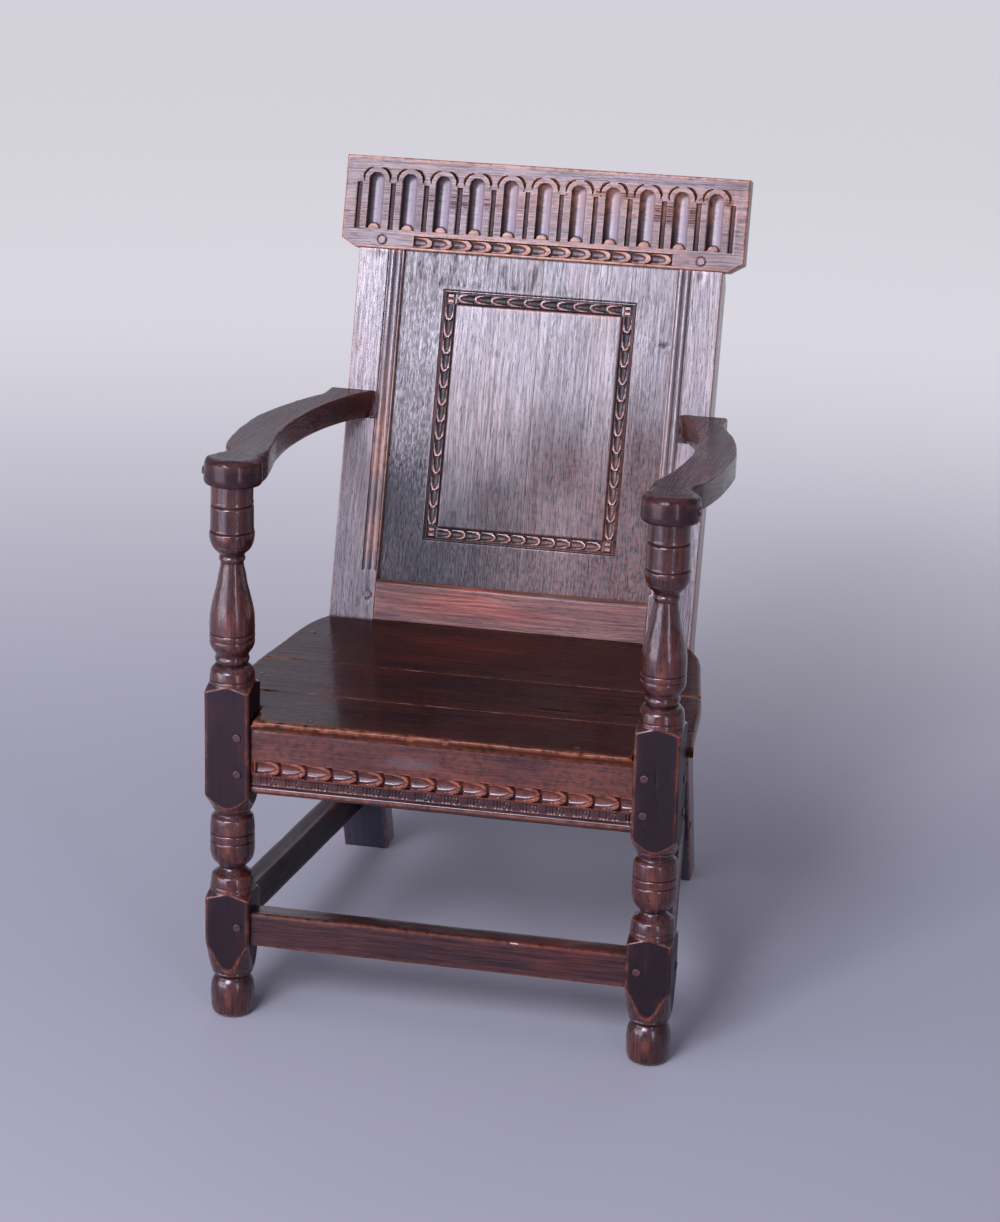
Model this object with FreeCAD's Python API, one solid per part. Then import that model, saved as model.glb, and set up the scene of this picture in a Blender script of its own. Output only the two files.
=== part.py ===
import FreeCAD, Part
import math
import os

os.makedirs("parts", exist_ok=True)

Vector, Rotation, Placement = FreeCAD.Vector, FreeCAD.Rotation, FreeCAD.Placement

# A joined oak armchair with a framed and panelled back. Millimetres, +Z up, +Y to the rear.
# Every piece is drawn with the front posts upright, x = 0 midway and y = 0 on their axes.
# The finished chair then leans back on its shorter rear legs, and its feet are cut to the floor.

# Whole frame
post_spacing = 546.0        # between the axes of the front posts
post_square = 58.0          # blocks of the front posts
back_spread = 498.0         # over the outer faces of the back posts
back_post_width = 62.0
back_post_depth = 48.0
back_foot_depth = 42.0
seat_height = 414.0         # top of the seat boards
seat_depth = 394.0          # front post axes to the face of the back posts
back_rake = 17.7            # degrees, back posts above the seat
leg_kick = 20.0             # degrees, back posts below the seat rails
chair_lean = 3.6            # degrees, whole chair on its shorter rear legs

# Joints
fit = 0.15                  # clearance round tenons, tongues and pegs
tenon_root = 14.0           # part of a tenon inside its own rail
overrun = 60.0              # how far cuts run past what they cut
peg_radius = 5.2
peg_proud = 1.2
peg_sides = 6               # riven, not turned

# Seat frame
rail_bottom = 314.0         # lower edge of the seat rails
front_rail_thickness = 30.0
front_setback = 10.0        # front rail and stretcher behind the block faces
side_setback = 6.0          # side rails inside the outer faces of the posts
side_rail_thickness = 26.0
rear_rail_thickness = 28.0
rear_rail_setback = 9.0
tenon_thickness = 10.0
front_tenon = 34.0
side_tenon = 25.0
tenon_shoulder = 8.0        # above and below a tenon

# Stretchers
stretcher_bottom = 103.0
stretcher_height = 46.0
rear_stretcher_thickness = 24.0
stretcher_round = 3.0

# Seat boards
seat_thickness = 13.0
seat_front_overhang = 3.0
seat_side_overhang = 8.0    # beyond the front posts, just behind them
seat_rear_share = 0.36066   # of the taper from there to the back posts, left where the corner starts
seat_corner_length = 56.0
seat_corner_share = 0.2377  # the same, left part way round that corner
seat_corner_mid_share = 0.43
seat_tongue = 27.0          # seat passing under the back between the back posts
front_board = 112.0         # seat front to the first joint
middle_board = 122.0
board_gap = 0.5
seat_edge_bevel = 3.0
seat_notch_gap = 0.5
seat_peg_radius = 4.0
seat_peg_length = 30.0
front_seat_peg_place = 170.0
side_seat_peg_near = 150.0   # behind the front post axes
side_seat_peg_far = 322.0

# Back
crest_bottom = 503.5        # along the back, above the seat
crest_height = 124.5
crest_length = 552.0
crest_thickness = 32.0
crest_clip_length = 20.0
crest_clip_height = 12.0
back_rail_height = 55.0
back_rail_thickness = 30.0
back_rail_bevel = 5.0
back_rail_tenon_setback = 8.0
back_rail_tenon_thickness = 12.0
back_rail_tenon_height = 34.0
back_rail_tenon_level = 26.0
stile_tenon_width = 36.0
stile_tenon_length = 42.0
stile_tenon_setback = 10.0
stile_tenon_thickness = 12.0
panel_recess = 9.0
panel_edge = 8.0
panel_groove = 9.0
panel_tongue = 8.0
panel_field = 5.0           # extra thickness of the field at the rear
panel_bevel = 28.0
panel_joint = 6.0           # joint between the two boards, right of the middle

# Stopped double bead along the inner edges of the back posts
bead_band = 22.0
bead_radius = 4.2
bead_depth = 2.6
bead_start = 66.0           # above the seat

# Bead along the lower edge of the front seat rail
rail_bead_height = 10.0
rail_bead_round = 4.0
rail_quirk = 2.0
rail_quirk_depth = 2.4

# Crest arcade
arch_count = 11
arch_pitch = 46.6
flute_width = 20.0
flute_depth = 4.6
flute_foot = 530.0          # along the back, above the seat
flute_spring = 596.0        # centre of the round head
pillar_groove_width = 5.4
pillar_groove_depth = 3.6
pillar_groove_gap = 5.0     # below the springing

# Carved strips: a run of scoops, each stopped by a straight cut at its deep end
scoop_depth = 3.4
crest_scoop_count = 12
crest_scoop_span = 354.0
crest_scoop_width = 13.0
crest_scoop_level = 514.5
apron_scoop_pitch = 33.4
apron_scoop_count = 15
apron_scoop_width = 17.0
apron_scoop_level = 350.0
scoop_land = 3.0            # uncut lip between one scoop and the next
apron_scoop_start = 6.0     # from the left shoulder of the rail
border_width = 266.0
border_height = 341.0
border_bottom = 113.5       # along the back, above the seat
border_shift = 3.0          # right of the middle
border_band = 19.5
border_scoop_width = 11.0
border_scoop_depth = 2.8
border_rows = 10
border_columns = 13
border_line = 1.6
border_line_depth = 1.6

# Arms
arm_underside = 714.0       # on the front post axis
arm_slope = 4.74            # degrees, down to the rear
arm_thickness = 36.0
arm_rear_width = 44.0
arm_bow_place = 230.0       # behind the front post axis
arm_bow_outer = 44.0        # outward of the front post axis
arm_bow_inner = -12.0
arm_neck_outer = 19.0
arm_neck_outer_place = 20.0
arm_neck_inner = -35.5
arm_neck_inner_place = 5.0
arm_head_radius = 36.5
arm_head_shift = 4.0        # head centre behind the post axis
arm_head_bevel = 8.0
arm_edge_bevel = 4.0
arm_tenon_radius = 12.0
arm_tenon_length = 25.0
arm_rear_tenon = 28.0
arm_rear_tenon_height = 24.0
arm_rear_tenon_thickness = 12.0
arm_rear_peg_place = 13.0    # beyond the shoulder
arm_head_peg_level = 16.0    # above the underside
arm_peg_length = 46.0
arm_head_peg_length = 52.0

# Peg lengths and levels
front_peg_length = 44.0
side_peg_length = 26.0
rear_peg_length = 36.0
crest_peg_length = 29.0
front_peg_inset = 15.0      # from the shoulder of the joint
back_peg_inset = 11.0
rail_peg_low = 342.0
rail_peg_high = 391.0
stretcher_peg_level = 131.0
side_peg_low = 334.0
side_peg_high = 378.0
back_rail_peg_level = 33.0  # along the back, above the seat
crest_peg_level = 515.5
crest_peg_place = 219.0

# Turned front posts, from the floor up. Each stage has a height and tapers between shares of
# that height and of half the block; shares of 1.45 lie outside the corners of the square.
# The stages above the upper block share out the height that is left below the arm.
foot_height = 51.0
lower_rise_height = 61.0
lower_block_height = 54.5
shoulder_height = 9.0
reel_height = 31.0
ball_height = 73.0
upper_rise_height = 32.0
upper_block_height = 134.0
post_head_room = 2.5        # post above the arm's underside on its axis, before it is cut to the slope

bell_share = 0.0935
neck_ring_share = 0.0382
torus_share = 0.1221
vase_share = 0.3473
cap_neck_share = 0.0477
ovolo_share = 0.1031
drum_share = 0.2481

foot_shares = ((0.0, 0.68), (0.2, 0.95), (0.8, 0.95), (1.0, 0.77))
rise_shares = ((0.0, 0.77), (1.0, 1.45))
block_shares = ((0.0, 1.45), (1.0, 1.45))
shoulder_shares = ((0.0, 1.45), (1.0, 0.95))
reel_shares = ((0.0, 0.95), (0.55, 0.95), (1.0, 0.55))
ball_shares = ((0.0, 0.55), (0.3, 0.985), (0.84, 0.985), (1.0, 0.8))
upper_rise_shares = ((0.0, 0.8), (1.0, 1.45))
bell_shares = ((0.0, 0.95), (0.45, 0.95), (1.0, 0.7))
neck_ring_shares = ((0.0, 0.7), (1.0, 0.7))
torus_shares = ((0.0, 0.7), (0.5, 0.985), (1.0, 0.985))
vase_shares = ((0.0, 0.985), (0.32, 0.92), (0.74, 0.57), (1.0, 0.51))
cap_neck_shares = ((0.0, 0.51), (1.0, 0.81))
ovolo_shares = ((0.0, 0.81), (0.5, 0.985), (1.0, 0.985))
drum_shares = ((0.0, 0.985), (1.0, 0.985))

# Sizes that follow from the ones above
half_post = post_square / 2
post_axis = post_spacing / 2
block_inner = post_axis - half_post
block_outer = post_axis + half_post
stile_outer = back_spread / 2
stile_inner = stile_outer - back_post_width
rail_face = front_setback - half_post
rail_top = seat_height - seat_thickness
crest_top = crest_bottom + crest_height
stretcher_top = stretcher_bottom + stretcher_height
foot_radius = foot_shares[0][1] * half_post
kick_run = math.tan(math.radians(leg_kick))
rake_run = math.tan(math.radians(back_rake))

UP = Vector(0, 0, 1)
RIGHT = Vector(1, 0, 0)
BACK = Vector(0, 1, 0)

# Frame of the raked back: x to the right, y into the wood, z up along its face from the seat.
back_frame = Placement(Vector(0, seat_depth, seat_height), Rotation(RIGHT, -back_rake))
# Frame of the right arm: x outward and y back from the front post, z = 0 is its underside.
arm_frame = Placement(Vector(post_axis, 0, arm_underside), Rotation(RIGHT, -arm_slope))


def box(x0, x1, y0, y1, z0, z1):
    return Part.makeBox(x1 - x0, y1 - y0, z1 - z0, Vector(x0, y0, z0))


def placed(shape, placement):
    moved = shape.copy()
    moved.Placement = placement.multiply(moved.Placement)
    return moved


def mirrored(shape):
    return shape.mirror(Vector(0, 0, 0), RIGHT)


def both_sides(shapes):
    return list(shapes) + [mirrored(shape) for shape in shapes]


def prism(points, direction):
    return Part.Face(Part.makePolygon(points + points[:1])).extrude(direction)


def face_place(level):
    """How far behind the front posts the back posts' front face is, below the seat."""
    return seat_depth + max(0.0, rail_bottom - level) * kick_run


def tenon_pair(origin, rotation, thickness, height, length):
    """A tenon along local +X, with its shoulder at the origin, and the mortise that takes it."""
    spot = Placement(origin, rotation)
    tenon = box(-tenon_root, length, -thickness / 2, thickness / 2, -height / 2, height / 2)
    wide, tall = thickness / 2 + fit, height / 2 + fit
    mortise = box(-tenon_root, length + fit, -wide, wide, -tall, tall)
    return placed(tenon, spot), placed(mortise, spot)


def riven(radius, length, start, direction):
    """A straight many-sided rod."""
    corners = [Vector(radius * math.cos(2 * math.pi * (side + 1 / 2) / peg_sides),
                      radius * math.sin(2 * math.pi * (side + 1 / 2) / peg_sides), 0)
               for side in range(peg_sides)]
    return placed(prism(corners, Vector(0, 0, length)), Placement(start, Rotation(UP, direction)))


def peg_pair(start, direction, length, radius=peg_radius, proud=peg_proud):
    """A peg driven in from a face, standing a little proud of it, and the hole that takes it."""
    head = start - direction * proud
    return (riven(radius, length + proud, head, direction),
            riven(radius + fit, length + proud + fit, head, direction))


# Carving
def scoop_row(count, pitch, start, level, width, depth, turn=0.0):
    """Notches cut in the face y = 0, each deep at its start and rising to the next, in a row turned
    about that face's normal."""
    length = pitch - scoop_land
    corners = [Vector(0, -overrun, 0), Vector(0, depth, 0), Vector(length, 0, 0),
               Vector(length, -overrun, 0)]
    notch = prism(corners, Vector(0, 0, width))
    spot = Placement(Vector(start, 0, level), Rotation(BACK, turn))
    row = []
    for place in range(count):
        shape = notch.copy()
        shape.translate(Vector(place * pitch, 0, -width / 2))
        row.append(placed(shape, spot))
    return row


def arcade_cutters():
    """Flutes and pillar grooves of the crest rail, in the frame of the back."""
    sweep = (flute_width ** 2 / 4 + flute_depth ** 2) / (2 * flute_depth)
    axis = flute_depth - sweep
    cutters = []
    for bay in range(arch_count):
        x = (bay - (arch_count - 1) / 2) * arch_pitch
        trough = Part.makeCylinder(sweep, flute_spring - flute_foot, Vector(x, axis, flute_foot), UP)
        head = Part.makeSphere(sweep, Vector(x, axis, flute_spring))
        cutters.append(trough.fuse(head))
    for bar in range(arch_count + 1):
        x = (bar - arch_count / 2) * arch_pitch
        cutters.append(box(x - pillar_groove_width / 2, x + pillar_groove_width / 2, -overrun,
                           pillar_groove_depth, flute_foot, flute_spring - pillar_groove_gap))
    return cutters


def border_cutters():
    """The carved frame on the panel: two fine lines with scoops between, running round and down."""
    x0 = border_shift - border_width / 2
    x1 = border_shift + border_width / 2
    z0 = border_bottom
    z1 = border_bottom + border_height
    cutters = []
    for inset in (0.0, border_band - border_line):
        outer = box(x0 + inset, x1 - inset, -overrun, border_line_depth, z0 + inset, z1 - inset)
        step = inset + border_line
        inner = box(x0 + step, x1 - step, -2 * overrun, overrun, z0 + step, z1 - step)
        cutters.append(outer.cut(inner))
    across = border_width - 2 * border_band
    upright = border_height - 2 * border_band
    row_pitch = (across - border_line) / border_rows
    column_pitch = (upright - border_line) / border_columns
    middle = border_band / 2
    size = (border_scoop_width, border_scoop_depth)
    left = x0 + border_band + border_line
    cutters += scoop_row(border_rows, row_pitch, left, z0 + middle, *size)
    right = x1 - border_band - border_line
    cutters += scoop_row(border_rows, row_pitch, right, z1 - middle, *size, turn=180)
    top = z1 - border_band - border_line
    cutters += scoop_row(border_columns, column_pitch, x0 + middle, top, *size, turn=90)
    cutters += scoop_row(border_columns, column_pitch, x1 - middle, top, *size, turn=90)
    for shape in cutters:
        shape.translate(Vector(0, panel_recess, 0))
    return cutters


# Front posts
lower_stages = (
    (foot_height, foot_shares), (lower_rise_height, rise_shares), (lower_block_height, block_shares),
    (shoulder_height, shoulder_shares), (reel_height, reel_shares), (ball_height, ball_shares),
    (upper_rise_height, upper_rise_shares), (upper_block_height, block_shares),
    (shoulder_height, shoulder_shares))
upper_turning = arm_underside + post_head_room - sum(height for height, shares in lower_stages)
turned_stages = lower_stages + tuple((share * upper_turning, shares) for share, shares in (
    (bell_share, bell_shares), (neck_ring_share, neck_ring_shares), (torus_share, torus_shares),
    (vase_share, vase_shares), (cap_neck_share, cap_neck_shares), (ovolo_share, ovolo_shares),
    (drum_share, drum_shares)))


def turned_outline():
    """Half section of the turning, from the floor up, and its height."""
    points, level = [], 0.0
    for height, shares in turned_stages:
        points += [Vector(wide * half_post, 0, level + rise * height) for rise, wide in shares]
        level += height
    corners = [point for place, point in enumerate(points)
               if not place or not point.isEqual(points[place - 1], fit)]
    return [Vector(0, 0, 0)] + corners + [Vector(0, 0, level)], level


def turned_post():
    """The right front post, turned between its square blocks, with its tenon for the arm."""
    outline, height = turned_outline()
    turned = Part.Face(Part.makePolygon(outline + outline[:1])).revolve(Vector(0, 0, 0), UP, 360)
    post = turned.common(box(-half_post, half_post, -half_post, half_post, 0, height))
    post.translate(Vector(post_axis, 0, 0))
    post = post.cut(placed(box(-overrun, overrun, -overrun, overrun, 0, overrun), arm_frame))
    root = Vector(post_axis, 0, arm_underside - tenon_root)
    tenon = Part.makeCylinder(arm_tenon_radius, tenon_root + arm_tenon_length, root, UP)
    return post.fuse(tenon).removeSplitter()


# Back posts
def offset_points(points, distance, end_distance):
    """The other edge of a bent board: each corner moved square to its two sides."""
    moved = []
    for place, point in enumerate(points):
        before = points[max(place - 1, 0)]
        after = points[min(place + 1, len(points) - 1)]
        one = Vector(point - before if place else after - point).normalize()
        two = Vector(after - point if place < len(points) - 1 else point - before).normalize()
        normal = Vector(0, (one.z + two.z) / 2, -(one.y + two.y) / 2)
        reach = distance if place else end_distance
        moved.append(point + normal * (reach / normal.Length ** 2))
    return moved


def back_face_line():
    """Side view of the back posts' front face: kicked leg, upright at the rails, raked above."""
    return [Vector(0, face_place(-overrun), -overrun), Vector(0, seat_depth, rail_bottom),
            Vector(0, seat_depth, seat_height), back_frame.multVec(Vector(0, 0, crest_bottom))]


def stile_tenon():
    """Tenon of the right back post for the crest rail, and its mortise."""
    shoulder = Vector((stile_inner + stile_outer) / 2,
                      stile_tenon_setback + stile_tenon_thickness / 2, crest_bottom)
    pair = tenon_pair(shoulder, Rotation(BACK, -90), stile_tenon_thickness, stile_tenon_width,
                      stile_tenon_length)
    return [placed(shape, back_frame) for shape in pair]


def bead_cutter():
    """What the moulding plane takes from the inner edge of the right back post."""
    top = crest_bottom + overrun
    edge = stile_inner - overrun
    taken = box(edge, stile_inner + bead_band, -overrun, bead_depth, bead_start, top)
    beads = []
    for row in range(2):
        x = stile_inner + bead_band * (row + 1 / 2) / 2
        beads.append(Part.makeCylinder(bead_radius, top - bead_start, Vector(x, bead_radius, bead_start), UP))
    return placed(taken.cut(beads), back_frame)


def back_post():
    """The right back post, sawn to its bent side outline, with its tenon for the crest rail."""
    front = back_face_line()
    rear = offset_points(front, back_post_depth, back_foot_depth)
    bevel = back_post_depth - crest_thickness
    rear[-1] = back_frame.multVec(Vector(0, back_post_depth, crest_bottom - bevel))
    rear.append(back_frame.multVec(Vector(0, crest_thickness, crest_bottom)))
    post = prism(front + rear[::-1], Vector(back_post_width, 0, 0))
    post.translate(Vector(stile_inner, 0, 0))
    groove = box(stile_inner - overrun, stile_inner + panel_groove, panel_recess - fit,
                 panel_recess + panel_edge + fit, back_rail_height - panel_groove, crest_bottom)
    post = post.cut([bead_cutter(), placed(groove, back_frame)])
    return post.fuse(stile_tenon()[0]).removeSplitter()


def space_behind():
    """Everything behind the front face of the back posts, for cutting what stops against them."""
    line = back_face_line()
    reach = Vector(0, 2 * seat_depth, 0)
    points = line + [line[-1] + reach, line[0] + reach]
    space = prism(points, Vector(2 * (post_spacing + overrun), 0, 0))
    space.translate(Vector(-post_spacing - overrun, 0, 0))
    return space


# Rails and stretchers
def long_edges(shape, direction, length):
    """Edges of a straight board that run its whole length."""
    return [edge for edge in shape.Edges
            if abs(edge.tangentAt(edge.FirstParameter).dot(direction)) > 1 - fit / 10
            and edge.Length > length * (1 - fit)]


def front_seat_rail():
    rail = box(-block_inner, block_inner, rail_face, rail_face + front_rail_thickness, rail_bottom, rail_top)
    lower = [edge for edge in rail.Edges
             if edge.CenterOfMass.isEqual(Vector(0, rail_face, rail_bottom), fit)]
    rail = rail.makeFillet(rail_bead_round, lower)
    quirk = box(-block_inner, block_inner, rail_face - overrun, rail_face + rail_quirk_depth,
                rail_bottom + rail_bead_height, rail_bottom + rail_bead_height + rail_quirk)
    scoops = scoop_row(apron_scoop_count, apron_scoop_pitch, apron_scoop_start - block_inner,
                       apron_scoop_level, apron_scoop_width, scoop_depth)
    for shape in scoops:
        shape.translate(Vector(0, rail_face, 0))
    return rail.cut([quirk] + scoops)


def side_member(z0, z1, outer_rear):
    """A side rail or stretcher at the right, its front and rear tenons, and their mortises."""
    middle = (z0 + z1) / 2
    rear_place = face_place(middle)
    outer_front = block_outer - side_setback
    run = rear_place - half_post
    turn = math.atan2(outer_front - outer_rear, run)
    across = Vector(side_rail_thickness / math.cos(turn), 0, 0)
    slope = (outer_rear - outer_front) / run
    long_run = run + overrun
    a = Vector(outer_front, half_post, z0)
    b = Vector(outer_front + slope * long_run, half_post + long_run, z0)
    body = prism([a, b, b - across, a - across], Vector(0, 0, z1 - z0))
    if z1 == stretcher_top:
        body = body.makeFillet(stretcher_round, long_edges(body, (b - a).normalize(), long_run))
    height = z1 - z0 - 2 * tenon_shoulder
    bearing = math.degrees(turn)
    front_spot = Vector(outer_front, half_post, middle) - across / 2
    rear_spot = Vector(outer_rear, rear_place, middle) - across / 2
    front = tenon_pair(front_spot, Rotation(UP, bearing - 90), tenon_thickness, height, side_tenon)
    rear = tenon_pair(rear_spot, Rotation(UP, bearing + 90), tenon_thickness, height, side_tenon)
    member = body.cut(space_behind()).fuse([front[0], rear[0]]).removeSplitter()
    return member, front[1], rear[1], front_spot, rear_spot


def rounded_rail(half_length, y0, y1, z0, z1):
    rail = box(-half_length, half_length, y0, y1, z0, z1)
    return rail.makeFillet(stretcher_round, long_edges(rail, RIGHT, 2 * half_length))


# Seat
def seat_boards():
    """The seat, notched round the posts, sawn into its three boards."""
    front = rail_face - seat_front_overhang
    notch = block_inner - seat_notch_gap
    behind = half_post + seat_notch_gap
    corner = seat_depth - seat_corner_length
    tongue = stile_inner - seat_notch_gap
    widest = block_outer + seat_side_overhang
    taper = widest - stile_outer
    right = [Vector(notch, front, rail_top), Vector(notch, behind, rail_top),
             Vector(widest, behind, rail_top),
             Vector(stile_outer + taper * seat_rear_share, corner, rail_top)]
    arc_mid = Vector(stile_outer + taper * seat_corner_share,
                     seat_depth - seat_corner_length * seat_corner_mid_share, rail_top)
    end = [Vector(stile_outer, seat_depth, rail_top), Vector(tongue, seat_depth, rail_top),
           Vector(tongue, seat_depth + seat_tongue, rail_top)]

    def flip(point):
        return Vector(-point.x, point.y, point.z)

    edges = [Part.makeLine(a, b) for a, b in zip(right, right[1:])]
    edges.append(Part.Arc(right[-1], arc_mid, end[0]).toShape())
    edges += [Part.makeLine(a, b) for a, b in zip(end, end[1:])]
    edges.append(Part.makeLine(end[-1], flip(end[-1])))
    edges += [Part.makeLine(flip(b), flip(a)) for a, b in zip(end, end[1:])][::-1]
    edges.append(Part.Arc(flip(end[0]), flip(arc_mid), flip(right[-1])).toShape())
    edges += [Part.makeLine(flip(b), flip(a)) for a, b in zip(right, right[1:])][::-1]
    edges.append(Part.makeLine(flip(right[0]), right[0]))
    seat = Part.Face(Part.Wire(edges)).extrude(Vector(0, 0, seat_thickness))
    worn = [edge for edge in seat.Edges
            if abs(edge.CenterOfMass.z - seat_height) < fit
            and (edge.CenterOfMass.y < front + fit
                 or abs(edge.CenterOfMass.x) > stile_outer and edge.CenterOfMass.y > behind + fit)]
    seat = seat.makeChamfer(seat_edge_bevel, worn)
    joints = [front - overrun, front + front_board, front + front_board + middle_board,
              seat_depth + seat_tongue + overrun]
    boards = []
    for place, (near, far) in enumerate(zip(joints, joints[1:])):
        near += board_gap / 2 if place else 0.0
        far -= board_gap / 2
        boards.append(seat.common(box(-post_spacing, post_spacing, near, far, 0, 2 * seat_height)))
    return boards


# Framed back
def crest_rail():
    half = crest_length / 2
    inset = half - crest_clip_length
    clip = crest_bottom + crest_clip_height
    outline = [Vector(-half, 0, crest_top), Vector(half, 0, crest_top), Vector(half, 0, clip),
               Vector(inset, 0, crest_bottom), Vector(-inset, 0, crest_bottom), Vector(-half, 0, clip)]
    rail = prism(outline, Vector(0, crest_thickness, 0))
    reach = stile_inner + panel_groove
    groove = box(-reach, reach, panel_recess - fit, panel_recess + panel_edge + fit,
                 crest_bottom - overrun, crest_bottom + panel_groove)
    pitch = crest_scoop_span / crest_scoop_count
    scoops = scoop_row(crest_scoop_count, pitch, -crest_scoop_span / 2, crest_scoop_level,
                       crest_scoop_width, scoop_depth)
    return rail.cut([groove] + scoops + arcade_cutters())


def back_bottom_rail():
    rail = box(-stile_inner, stile_inner, 0, back_rail_thickness, -overrun, back_rail_height)
    groove = box(-stile_inner, stile_inner, panel_recess - fit, panel_recess + panel_edge + fit,
                 back_rail_height - panel_groove, back_rail_height + overrun)
    edge = back_rail_height - back_rail_bevel
    bevel = prism([Vector(-stile_inner, 0, edge), Vector(-stile_inner, back_rail_bevel, back_rail_height),
                   Vector(-stile_inner, 0, back_rail_height)], Vector(2 * stile_inner, 0, 0))
    rail = placed(rail.cut([groove, bevel]), back_frame)
    under = box(-post_spacing, post_spacing, 0, 2 * seat_depth, -overrun, seat_height)
    return rail.cut(under)


def panel_boards():
    """The two boards of the panel, bevelled at the rear to enter the grooves, with the border carved."""
    reach = stile_inner + panel_tongue
    low = back_rail_height - panel_tongue
    high = crest_bottom + panel_tongue
    back = panel_recess + panel_edge
    sheet = box(-reach, reach, panel_recess, back, low, high)
    side, foot, head = stile_inner - fit, back_rail_height + fit, crest_bottom - fit
    field = Part.makeWedge(-side, back, foot, foot + panel_bevel, panel_bevel - side,
                           side, back + panel_field, head, head - panel_bevel, side - panel_bevel)
    panel = sheet.fuse(field).removeSplitter().cut(border_cutters())
    left = panel.common(box(-2 * reach, panel_joint - board_gap / 2, 0, 2 * back, 0, 2 * high))
    right = panel.common(box(panel_joint + board_gap / 2, 2 * reach, 0, 2 * back, 0, 2 * high))
    return placed(left, back_frame), placed(right, back_frame)


# Arms
arm_slope_run = math.tan(math.radians(arm_slope))
arm_mid_rise = (arm_underside + arm_thickness / 2 - seat_height) * rake_run
arm_shoulder = ((seat_depth + arm_mid_rise) / (1 + arm_slope_run * rake_run)
                / math.cos(math.radians(arm_slope)))
arm_rear_outer = stile_outer - post_axis
arm_rear_inner = arm_rear_outer - arm_rear_width


def bow_arc(widest, end):
    """An arc that runs fore and aft at the widest place of the arm and ends at another point."""
    run, sag = end.y - widest.y, end.x - widest.x
    radius = (run ** 2 + sag ** 2) / (2 * abs(sag))
    centre = widest + Vector(math.copysign(radius, sag), 0, 0)
    half = math.asin(run / radius) / 2
    middle = centre + Vector(-math.copysign(radius * math.cos(half), sag), radius * math.sin(half), 0)
    return Part.Arc(widest, middle, end).toShape()


def bowed_arm():
    """The right arm: a sawn plank bowed in plan, with a rounded pad over the front post."""
    rear = arm_shoulder + overrun
    outer = [Vector(arm_rear_outer, rear, 0), Vector(arm_rear_outer, arm_shoulder, 0),
             Vector(arm_bow_outer, arm_bow_place, 0), Vector(arm_neck_outer, arm_neck_outer_place, 0)]
    inner = [Vector(arm_rear_inner, rear, 0), Vector(arm_rear_inner, arm_shoulder, 0),
             Vector(arm_bow_inner, arm_bow_place, 0), Vector(arm_neck_inner, arm_neck_inner_place, 0)]
    edges = []
    for side in (outer, inner):
        edges += [Part.makeLine(side[0], side[1]), bow_arc(side[2], side[1]), bow_arc(side[2], side[3])]
    edges += [Part.makeLine(outer[0], inner[0]), Part.makeLine(outer[3], inner[3])]
    plank = Part.Face(Part.Wire(Part.__sortEdges__(edges))).extrude(Vector(0, 0, arm_thickness))
    soft = [edge for edge in plank.Edges
            if edge.CenterOfMass.y > arm_neck_outer_place + fit and edge.CenterOfMass.y < rear - fit
            and min(abs(edge.CenterOfMass.z), abs(edge.CenterOfMass.z - arm_thickness)) < fit]
    plank = plank.makeChamfer(arm_edge_bevel, soft)
    rim = arm_head_radius - arm_head_bevel
    section = [Vector(0, 0, 0), Vector(rim, 0, 0), Vector(arm_head_radius, 0, arm_head_bevel),
               Vector(arm_head_radius, 0, arm_thickness - arm_head_bevel),
               Vector(rim, 0, arm_thickness), Vector(0, 0, arm_thickness)]
    pad = Part.Face(Part.makePolygon(section + section[:1])).revolve(Vector(0, 0, 0), UP, 360)
    pad.translate(Vector(0, arm_head_shift, 0))
    return placed(plank.fuse(pad).removeSplitter(), arm_frame).cut(space_behind())


def arm_rear_tenon_pair():
    shoulder = Vector((arm_rear_outer + arm_rear_inner) / 2, arm_shoulder, arm_thickness / 2)
    pair = tenon_pair(shoulder, Rotation(UP, 90), arm_rear_tenon_thickness, arm_rear_tenon_height,
                      arm_rear_tenon)
    return [placed(shape, arm_frame) for shape in pair]


# Assembly: each joint adds its tenon to one piece and its mortise and peg holes to the others.
pieces = {}
cuts = {}
pegs = {}


def cut_from(names, shapes):
    for name in names:
        cuts.setdefault(name, []).extend(shapes)


def add_peg(group, start, direction, length, through, **size):
    """A peg at the right side; its hole goes through the named pieces."""
    peg, hole = peg_pair(start, direction, length, **size)
    pegs.setdefault(group, []).append(peg)
    cut_from(through, [hole])


def join_across(name, rail, shoulder, height, length, post, frame=Placement(), thickness=tenon_thickness):
    """Fit a rail between the right post and its mirror image."""
    tenon, mortise = tenon_pair(shoulder, Rotation(), thickness, height, length)
    tenon = placed(tenon, frame)
    pieces[name] = rail.fuse(both_sides([tenon])).removeSplitter()
    cut_from([post], [placed(mortise, frame)])


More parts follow.
